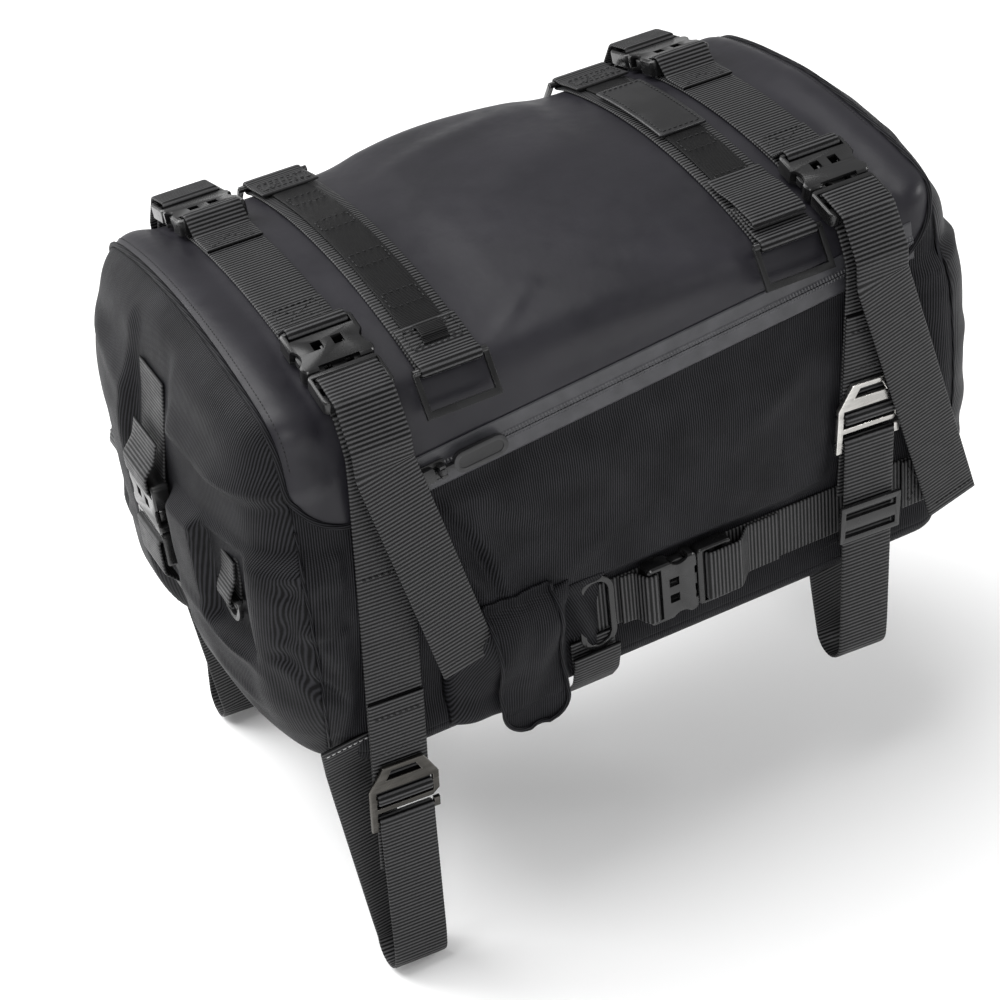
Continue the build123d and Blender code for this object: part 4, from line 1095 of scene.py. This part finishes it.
def mount_strap(end, far, x, hook_z, tube_z):
    """Strap from the hook's lower bar down round the frame tube and up to the bag's lower edge."""
    name = f"{end}_{'far' if far else 'near'}"
    bar_z, reach = hook_z - 19 * MM, TUBE_R + WEB / 2
    turn = np.linspace(0, np.pi, 14)
    arc = np.c_[TUBE_Y - reach * np.cos(turn), tube_z - reach * np.sin(turn)]
    outer = [(RETURN_Y, bar_z - 42 * MM), (RETURN_Y, bar_z + BAR_CLEAR), (FRONT_Y, bar_z + BAR_CLEAR),
             (FRONT_Y, bar_z - BAR_CLEAR - 2 * MM), (TUBE_Y - reach, tube_z + TUBE_LEAD)]
    down, wide = leaning(np.r_[outer, arc], x, HANG_Z, STRAP_LEAN)
    tube_x = x - (HANG_Z - tube_z) * np.tan(STRAP_LEAN)
    anchor = -5.5 * DEG
    up_run, up_wide = leaning([(TUBE_Y + reach, tube_z + 22 * MM), (TUBE_Y + reach, -8 * MM),
                               (-BASE_HALF - 6 * MM, 8 * MM), (-BASE_HALF - 10.2 * MM, 30 * MM)],
                              tube_x, tube_z, anchor)
    corners = np.r_[down, up_run]
    widths = np.r_[np.tile(wide, (len(down), 1)), np.tile(up_wide, (len(up_run), 1))]
    ribbon(f"{name}_mount_webbing", flip_far(corners, far), flip_far(widths, far), radius=1.6 * MM,
           nodes=[f"{name}_mount_strap"])
    tack, _ = leaning([(-BASE_HALF - 10.2 * MM, 27 * MM)] * 2, tube_x, tube_z, anchor)
    tack = tack + np.outer((-17 * MM, 17 * MM), up_wide) + (0, -1.7 * MM, 0)
    face = np.array([0, 1.0 if far else -1.0, 0])
    thread_mat = PALE_THREAD if end == "front" else THREAD
    stitches(f"{name}_mount_tack", [(flip_far(tack, far), face)], mat=thread_mat)


for end, x in (("front", FRONT_X), ("rear", REAR_X)):
    for far in (False, True):
        side_strap(end, far, x, HOOK_Z[end])
        mount_strap(end, far, x, HOOK_Z[end], TUBE_Z[end])
print("straps hung")

# %% [markdown]
# ## The two top strips
# Two wide strips are sewn across the lid, with a narrower dark strip on top of each, and fold round a
# rectangular ring at both ends. A box of stitches closes each fold, and a small upright loop stands
# just above it. The rear strip carries a soft rubber label, plain here, under a keeper of webbing.
# %% Strips
STRIP_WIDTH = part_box("front_strip")[1].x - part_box("front_strip")[0].x
RING_S, RING_LIFT, LOOP_R = 130 * MM, 3.8 * MM, 2.6 * MM + WEB / 2
OVERLAY_WIDTH = 27 * MM


def strip_half():
    """Half of a strip's path: back over itself, round the ring's bar, and in under it."""
    y, z = crown_point(RING_S, RING_LIFT)
    angle = np.pi / 2 - RING_S / CROWN_R - np.linspace(0, np.pi, 9)
    turn = np.c_[y - LOOP_R * np.cos(angle), z + LOOP_R * np.sin(angle)]
    return np.r_[crown_run(RING_S - 34 * MM, RING_S - 8 * MM, UNDER + 2 * WEB + 0.4 * MM, 4), turn]


LOOP_WIDTH = 17 * MM


def standing_loop(name, x, s):
    """Small loop of webbing that stands up from the strip."""
    base = UNDER + 2.5 * WEB + 0.6 * MM
    height = 3.4 * MM
    outline = ((-8, 0), (-5, 0), (-4, height), (4, height), (5, 0), (8, 0))
    path = np.array([crown_point(s + along * MM, base + up) for along, up in outline])
    ribbon(name, at_x(path, x), ALONG_X, LOOP_WIDTH, 1.2 * MM, 1.2 * MM, DARK_WEBBING, ribs=False)


for end, x in (("front", STRIP_FRONT_X), ("rear", STRIP_REAR_X)):
    half = strip_half()
    path = np.r_[half, crown_run(RING_S - 12 * MM, -RING_S + 12 * MM, UNDER), half[::-1] * (-1, 1)]
    ribbon(f"{end}_strip_webbing", at_x(path, x), ALONG_X, STRIP_WIDTH, radius=1.3 * MM,
           nodes=[f"{end}_strip"])
    top = UNDER + WEB + 0.2 * MM
    ribbon(f"{end}_strip_overlay", at_x(crown_run(96 * MM, -96 * MM, top), x), ALONG_X, OVERLAY_WIDTH,
           1.6 * MM, mat=DARK_WEBBING, ribs=False)
    runs = []
    for s in (-70 * MM, -25 * MM, 25 * MM, 70 * MM):
        runs += cross_box(s - 7 * MM, s + 7 * MM, x, OVERLAY_WIDTH - 5 * MM, top + 1.25 * MM)[:4]
    for s in (RING_S - 30 * MM, -RING_S + 14 * MM):
        runs += cross_box(s, s + 16 * MM, x, STRIP_WIDTH - 7 * MM, UNDER + 2.5 * WEB + 1.0 * MM)
    stitches(f"{end}_strip_stitches", runs)
    if end == "front":
        standing_loop("front_strip_loop", x, RING_S - 24 * MM)

PATCH_LOW, PATCH_HIGH, PATCH_WIDTH = -74 * MM, 9 * MM, 34 * MM
PATCH_HEM, PATCH_STITCH_X = 3 * MM, 14 * MM
label_h = UNDER + 1.5 * WEB + 1.6 * MM
ribbon("rear_strip_label", at_x(crown_run(PATCH_LOW, PATCH_HIGH, label_h), STRIP_REAR_X), ALONG_X,
       PATCH_WIDTH, 2.2 * MM, mat=RUBBER, ribs=False, slot="rubber", nodes=["strip_patch"])
rim_h = label_h + 1.3 * MM
up_normal = np.array([0, 0, 1.0])
rim = []
for s in (PATCH_LOW + PATCH_HEM, PATCH_HIGH - PATCH_HEM):
    ends = at_x(np.repeat([crown_point(s, rim_h)], 2, 0), STRIP_REAR_X)
    rim.append((ends + np.outer((-PATCH_STITCH_X, PATCH_STITCH_X), ALONG_X), up_normal))
for side in (-PATCH_STITCH_X, PATCH_STITCH_X):
    line = crown_run(PATCH_LOW + PATCH_HEM, PATCH_HIGH - PATCH_HEM, rim_h)
    rim.append((at_x(line, STRIP_REAR_X + side), up_normal))
stitches("label_stitches", rim, slot="rubber")
keeper = np.array([crown_point(RING_S - 62 * MM, UNDER + WEB * 1.5 + 2.1 * MM),
                   crown_point(RING_S - 50 * MM, UNDER + WEB * 1.5 + 2.3 * MM),
                   crown_point(RING_S - 36 * MM, UNDER + WEB + 7.0 * MM),
                   crown_point(RING_S - 14 * MM, UNDER + WEB + 9.5 * MM),
                   crown_point(RING_S - 8 * MM, UNDER + WEB + 8.0 * MM),
                   crown_point(RING_S - 12 * MM, UNDER + 2 * WEB + 3.4 * MM),
                   crown_point(RING_S - 30 * MM, UNDER + 2 * WEB + 2.6 * MM)])
ribbon("rear_strip_keeper", at_x(keeper, STRIP_REAR_X), ALONG_X, STRIP_WIDTH - 2 * MM, 1.5 * MM, 2.0 * MM)
print("strips sewn")

# %% [markdown]
# ## Low strap, ring and tabs
# A strap runs along the foot of the zip side through its own buckle. Its ends are sewn down, the rear
# one folded back with a cross stitch, and an oval ring and a short tab hold it near the front.
# %% Low strap
LOW_X, LOW_FACE_Y = 28 * MM, -(HALF_WIDTH - 1.7 * MM)
LOW_SPAN = (-58 * MM, 216 * MM)
UP = np.array([0, 0, 1.0])


def low_point(u, w):
    """Point at a run u from the low buckle's latch, w out from the side."""
    return (LOW_X + u, LOW_FACE_Y - w, LOW_STRAP_Z)


start, stop = LOW_SPAN[0] - LOW_X, LOW_SPAN[1] - LOW_X
left = [low_point(SLOT_U - 22 * MM, UNDER + WEB + 0.3 * MM),
        low_point(SLOT_U - 12 * MM, UNDER + WEB + 0.6 * MM),
        low_point(SLOT_U - 7 * MM, OVER), low_point(SLOT_U, OVER),
        low_point(SLOT_U, UNDER), low_point(start, UNDER)]
right = [low_point(PLUG_END + 40 * MM, UNDER + WEB + 0.3 * MM),
         low_point(PLUG_END + 16 * MM, UNDER + WEB + 0.6 * MM),
         low_point(PLUG_END + 5 * MM, OVER), low_point(PLUG_U, OVER), low_point(PLUG_U, UNDER),
         low_point(stop, UNDER), low_point(stop, UNDER + WEB + 1.5 * MM),
         low_point(stop - 26 * MM, UNDER + WEB + 1.2 * MM)]
ribbon("low_webbing_front", left, UP, radius=1.6 * MM, nodes=["low_strap"])
ribbon("low_webbing_rear", right, UP, radius=1.6 * MM)
tab_x = -46 * MM
tab_top = LOW_FACE_Y - 5.4 * MM
tab = [(tab_x, tab_top - 3.4 * MM, LOW_STRAP_Z - 27 * MM), (tab_x, tab_top - 2.6 * MM, 22 * MM),
       (tab_x, -BASE_HALF - 18 * MM, 6 * MM), (tab_x, -BASE_HALF - 9 * MM, -6 * MM)]
ribbon("low_ring_tab", tab, ALONG_X, 34 * MM, 2.4 * MM, 3 * MM)
band = [(tab_x, tab_top + 1.9 * MM, LOW_STRAP_Z - 18 * MM),
        (tab_x, tab_top + 2.2 * MM, LOW_STRAP_Z - 31 * MM),
        (tab_x, tab_top + 0.6 * MM, 18 * MM)]
ribbon("low_ring_tab_back", band, ALONG_X, 32 * MM, 1.6 * MM, 2 * MM)
face_out_y = np.array([0, -1.0, 0])
fold_y = LOW_FACE_Y - (UNDER + WEB * 1.5 + 1.9 * MM)
fold = []
for a, b in (((-22, -15), (-22, 15)), ((-6, -15), (-6, 15)), ((-22, -15), (-6, 15)), ((-22, 15), (-6, -15))):
    ends = np.array([(LOW_SPAN[1] + u * MM, fold_y, LOW_STRAP_Z + w * MM) for u, w in (a, b)])
    fold.append((ends, face_out_y))
stitches("low_fold_stitches", fold, size=1.1)

# %% [markdown]
# ## Ends
# A strap runs down the middle of each end through a buckle, which it holds clear of the cloth, and at
# the front two small loops carry the D rings.
# %% End straps
END_X = HALF_LENGTH + 10 * MM
END_LATCH_Z = 138 * MM
ALONG_Y = np.array([0, 1.0, 0])


def end_point(u, w):
    """(x, z) in the frame of the rear end's buckle."""
    return (END_X + w, END_LATCH_Z - u)


def both_ends(points, side):
    """(x, z) points at the middle of one end."""
    points = np.asarray(points, float)
    return np.c_[side * points[:, 0], np.full(len(points), END_MID_Y), points[:, 1]]


for side, end in ((-1, "front"), (1, "rear")):
    upper = [(HALF_LENGTH + 1.0 * MM, TOP - 40 * MM), (HALF_LENGTH + 4.0 * MM, TOP - 62 * MM),
             end_point(SLOT_U - 8 * MM, UNDER + 1 * MM), end_point(SLOT_U, UNDER), end_point(SLOT_U, OVER),
             end_point(SLOT_U - 12 * MM, OVER), end_point(SLOT_U - 22 * MM, OVER - 8 * MM),
             end_point(SLOT_U - 34 * MM, OVER - 11.5 * MM)]
    lower = [end_point(PLUG_END + 26 * MM, OVER - 10.5 * MM), end_point(PLUG_END + 16 * MM, OVER - 9 * MM),
             end_point(PLUG_END + 6 * MM, OVER), end_point(PLUG_U, OVER), end_point(PLUG_U, UNDER),
             end_point(PLUG_END + 6 * MM, UNDER), (HALF_LENGTH + 5 * MM, 72 * MM),
             (HALF_LENGTH + 1.0 * MM, 44 * MM)]
    ribbon(f"{end}_end_webbing_upper", both_ends(upper, side), ALONG_Y, radius=1.6 * MM,
           nodes=["end_webs"] if side < 0 else ())
    ribbon(f"{end}_end_webbing_lower", both_ends(lower, side), ALONG_Y, radius=1.6 * MM)
RING_X, RING_Z = HALF_LENGTH + 6.5 * MM, 132 * MM
for name, y in D_RING_Y.items():
    hang = [(HALF_LENGTH + 0.6 * MM, RING_Z + 30 * MM), (HALF_LENGTH + 1.2 * MM, RING_Z + 14 * MM),
            (RING_X - 3.6 * MM, RING_Z), (RING_X - 3.0 * MM, RING_Z - 3.2 * MM), (RING_X, RING_Z - 4.4 * MM),
            (RING_X + 3.0 * MM, RING_Z - 3.2 * MM), (RING_X + 4.3 * MM, RING_Z),
            (RING_X + 3.0 * MM, RING_Z + 5 * MM),
            (RING_X - 1.6 * MM, RING_Z + 15 * MM), (RING_X - 3.2 * MM, RING_Z + 29 * MM)]
    hang = np.array(hang)
    path = np.c_[-hang[:, 0], np.full(len(hang), y), hang[:, 1]]
    ribbon(f"front_{name}_ring_loop", path, ALONG_Y, 20 * MM, radius=1.0 * MM)
    tack = np.array([(-(RING_X - 1.2 * MM), y + u * MM, RING_Z + 18 * MM) for u in (-8, 8)])
    stitches(f"front_{name}_loop_tack", [(tack, np.array([-1.0, 0, 0]))])

# %% [markdown]
# ## Corner pocket
# A small stuffed pocket fills the front corner of the zip side. It is a dome over a rectangle: its height
# is a product of two flattened arches, with pleats that fan out. A stiff flap with round lower corners
# hangs over it, and a fold of cloth stands beside it.
# %% Pocket
POCKET_LOW, POCKET_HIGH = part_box("corner_pocket")


def pocket_height(a, b):
    """Dome over the unit square: two flattened arches multiplied, then pleats that fan from the top."""
    dome = (1 - np.abs(2 * a - 1) ** 3.2) ** 0.55 * (1 - np.abs(2 * b - 1) ** 2.8) ** 0.55
    pleat = 0.10 * np.sin(9 * a + 5 * b + 0.6) * np.sin(np.pi * b) + 0.07 * np.sin(17 * a - 7 * b)
    return 21 * MM * dome * (1 + pleat)


def over_body(name, x_range, z_range, height, columns, rows, mat, uv_turn=0.0, **filed):
    """Surface over a rectangle of the near side, raised by height(a, b) along the side's normal."""
    a, b = np.meshgrid(np.linspace(0, 1, columns), np.linspace(0, 1, rows))
    x, z = x_range[0] + a * (x_range[1] - x_range[0]), z_range[0] + b * (z_range[1] - z_range[0])
    points = body(share_at(z), x, height(a, b) + 0.4 * MM).reshape(-1, 3)
    uv = np.stack([x * np.cos(uv_turn) - z * np.sin(uv_turn), x * np.sin(uv_turn) + z * np.cos(uv_turn)], -1)
    piece = make_piece(name, points, grid_faces(rows, columns), mat, uv=uv.reshape(-1, 2), **filed)
    face_out(piece)
    return piece


pocket = over_body("corner_pocket_cloth", (POCKET_LOW.x, POCKET_HIGH.x), (POCKET_LOW.z, POCKET_HIGH.z),
                   pocket_height, 110, 110, TWILL, 0.35, slot=CLOTH_SLOT, nodes=["corner_pocket"])
thicken(pocket, 1.2 * MM)

FLAP_X, FLAP_TOP, FLAP_LOW, FLAP_R = (-122 * MM, -76 * MM), 104 * MM, 4 * MM, 17 * MM


FLAP_COLUMNS, FLAP_ROWS = 40, 70


def pocket_flap():
    """Sheet whose width is a rectangle that ends in quarter circles, carried clear of the pocket's dome."""
    a, b = np.meshgrid(np.linspace(-1, 1, FLAP_COLUMNS), np.linspace(0, 1, FLAP_ROWS))
    drop = b * (FLAP_TOP - FLAP_LOW)
    left = np.clip(1 - (FLAP_TOP - FLAP_LOW - drop) / FLAP_R, 0, 0.999)
    half = (FLAP_X[1] - FLAP_X[0]) / 2 - FLAP_R * (1 - np.sqrt(1 - left ** 2))
    x = (FLAP_X[0] + FLAP_X[1]) / 2 + a * half + 4 * MM * b
    z = FLAP_TOP - drop
    u = np.clip((x - POCKET_LOW.x) / (POCKET_HIGH.x - POCKET_LOW.x), 0, 1)
    w = np.clip((z - POCKET_LOW.z) / (POCKET_HIGH.z - POCKET_LOW.z), 0, 1)
    flare = 3 * MM * rise(b) * (0.4 + 0.6 * a ** 2)
    clear = np.maximum(pocket_height(u, w), 12 * MM * rise(b / 0.3)) + 2.4 * MM + flare
    points = body(share_at(np.maximum(z, 16 * MM)), x, clear)
    points[..., 2] -= np.maximum(16 * MM - z, 0)
    uv = np.stack([x, z], -1).reshape(-1, 2)
    piece = make_piece("pocket_flap_cloth", points.reshape(-1, 3), grid_faces(FLAP_ROWS, FLAP_COLUMNS), TWILL,
                       slot=CLOTH_SLOT, uv=uv)
    face_out(piece)
    thicken(piece, 2.0 * MM)
    edge = np.r_[points[:, 0], points[-1, 1:-1], points[::-1, -1]]
    edge = resample(edge, 1.5 * MM)
    tube("pocket_flap_binding", edge + (0, -0.8 * MM, 0), np.tile((0.0, -1.0, 0.0), (len(edge), 1)),
         1.5 * MM, TWILL, slot=CLOTH_SLOT)


pocket_flap()


def side_fold(a, b):
    """Upright fold: an arch across, a half sine up, and a slanting wave over both."""
    arch = 13 * MM * (1 - np.abs(2 * a - 1) ** 2.5) ** 0.7
    return arch * np.sin(np.pi * np.clip(b, 0, 1)) ** 0.8 * (0.75 + 0.25 * np.sin(8 * a + 6 * b))


FOLD_X, FOLD_Z = (POCKET_HIGH.x - 8 * MM, POCKET_HIGH.x + 26 * MM), (10 * MM, 92 * MM)
gusset = over_body("pocket_side_fold", FOLD_X, FOLD_Z, side_fold, 50, 80, TWILL, -0.5, slot=CLOTH_SLOT)
thicken(gusset, 1.2 * MM)
print("pocket", round(POCKET_HIGH.x - POCKET_LOW.x, 3), "m wide")

# %% [markdown]
# ## Hard parts
# Buckles, hooks, rings and the slider are moulded or pressed, and their edges are never sharp. The
# model's shapes are copied, their triangles joined, and a small bevel rounds each edge, so that it
# takes a line of light.
# %% Round the edges
PLASTIC_EDGE, METAL_EDGE = 0.55 * MM, 0.5 * MM


def rounded_copy(node, mat, width):
    """Copy a node's mesh, join its triangles into flat faces, and bevel the edges between them."""
    mesh = bmesh.new()
    mesh.from_mesh(NODES[node].data)
    bmesh.ops.remove_doubles(mesh, verts=mesh.verts, dist=1e-5)
    bmesh.ops.dissolve_limit(mesh, angle_limit=0.5 * DEG, verts=mesh.verts, edges=mesh.edges)
    data = bpy.data.meshes.new(node + "_part")
    mesh.to_mesh(data)
    mesh.free()
    data.materials.clear()
    data.materials.append(mat)
    data.polygons.foreach_set("material_index", np.zeros(len(data.polygons), np.int32))
    data.polygons.foreach_set("use_smooth", np.ones(len(data.polygons), bool))
    piece = bpy.data.objects.new(node + "_part", data)
    bpy.context.scene.collection.objects.link(piece)
    bevel = piece.modifiers.new("edges", "BEVEL")
    bevel.width, bevel.segments = width, 2
    bevel.limit_method, bevel.angle_limit = "ANGLE", 32 * DEG
    bevel.harden_normals = True
    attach(piece, BODY_OF[node])
    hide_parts(node)


PLASTIC_ENDS = ("socket", "plug", "prong_a", "prong_b", "buckles", "triglides", "ring", "rings")
for name in sorted(NODES):
    if name.endswith("hook"):
        metal, metal_slot = (NICKEL, "bright_metal") if name.startswith("rear") else (GUNMETAL, "dark_metal")
        rounded_copy(name, metal, METAL_EDGE)
    elif name == "zip_slider":
        rounded_copy(name, PLASTIC, 0.3 * MM)
    elif name == "zip_puller":
        rounded_copy(name, RUBBER, 0.5 * MM)
    elif name.endswith(PLASTIC_ENDS):
        rounded_copy(name, PLASTIC, PLASTIC_EDGE)
left_over = [name for name, piece in NODES.items() if not piece.hide_render]
print("nodes still shown:", left_over)

# %% [markdown]
# ## Stage and light
# The floor is pale and wide, just under the lowest strap. A wide sun and an even world make the white
# ground and the soft shadows, a lamp from behind and above draws the lid's shine, and two weaker ones
# from the viewer's side lift the webbing's ribs.
# %% Stage
FLOOR_Z = cad_box[0].z - 1 * MM
WORLD_LIGHT = 0.38


def light(name, location, aim, energy, size):
    """Square area lamp at a point, turned to its aim."""
    lamp = bpy.data.objects.new(name, bpy.data.lights.new(name, "AREA"))
    lamp.data.energy, lamp.data.size = energy, size
    lamp.location = location
    lamp.rotation_mode = "QUATERNION"
    lamp.rotation_quaternion = (Vector(aim) - Vector(location)).to_track_quat("-Z", "Y")
    bpy.context.scene.collection.objects.link(lamp)
    return lamp


floor_mesh = bpy.data.meshes.new("floor")
corners = [(x, y, FLOOR_Z) for x, y in ((-30, -30), (30, -30), (30, 30), (-30, 30))]
floor_mesh.from_pydata(corners, [], [(0, 1, 2, 3)])
floor_mesh.materials.append(finish("pale_floor", (0.93, 0.93, 0.93), 0.8)[0])
floor = bpy.data.objects.new("floor", floor_mesh)
bpy.context.scene.collection.objects.link(floor)
world = bpy.data.worlds.new("studio")
bpy.context.scene.world = world
world.use_nodes = True
background = world.node_tree.nodes["Background"].inputs
background[0].default_value = (1, 1, 1, 1)
background[1].default_value = WORLD_LIGHT
sun = bpy.data.objects.new("sun", bpy.data.lights.new("sun", "SUN"))
sun.data.energy, sun.data.angle = 2.6, 50 * DEG
sun.rotation_mode = "QUATERNION"
sun.rotation_quaternion = Vector((0.35, -0.35, -1.3)).to_track_quat("-Z", "Y")
bpy.context.scene.collection.objects.link(sun)
light("key", (-1.1, 1.3, 1.0), (0, 0, 0.2), 26, 1.2)
light("front_fill", (-0.8, -1.9, 1.2), (0, 0, 0.1), 12, 0.5)
light("side_fill", (1.8, -0.8, 1.0), (0, 0, 0.1), 12, 0.5)
print("floor at", round(FLOOR_Z, 4))
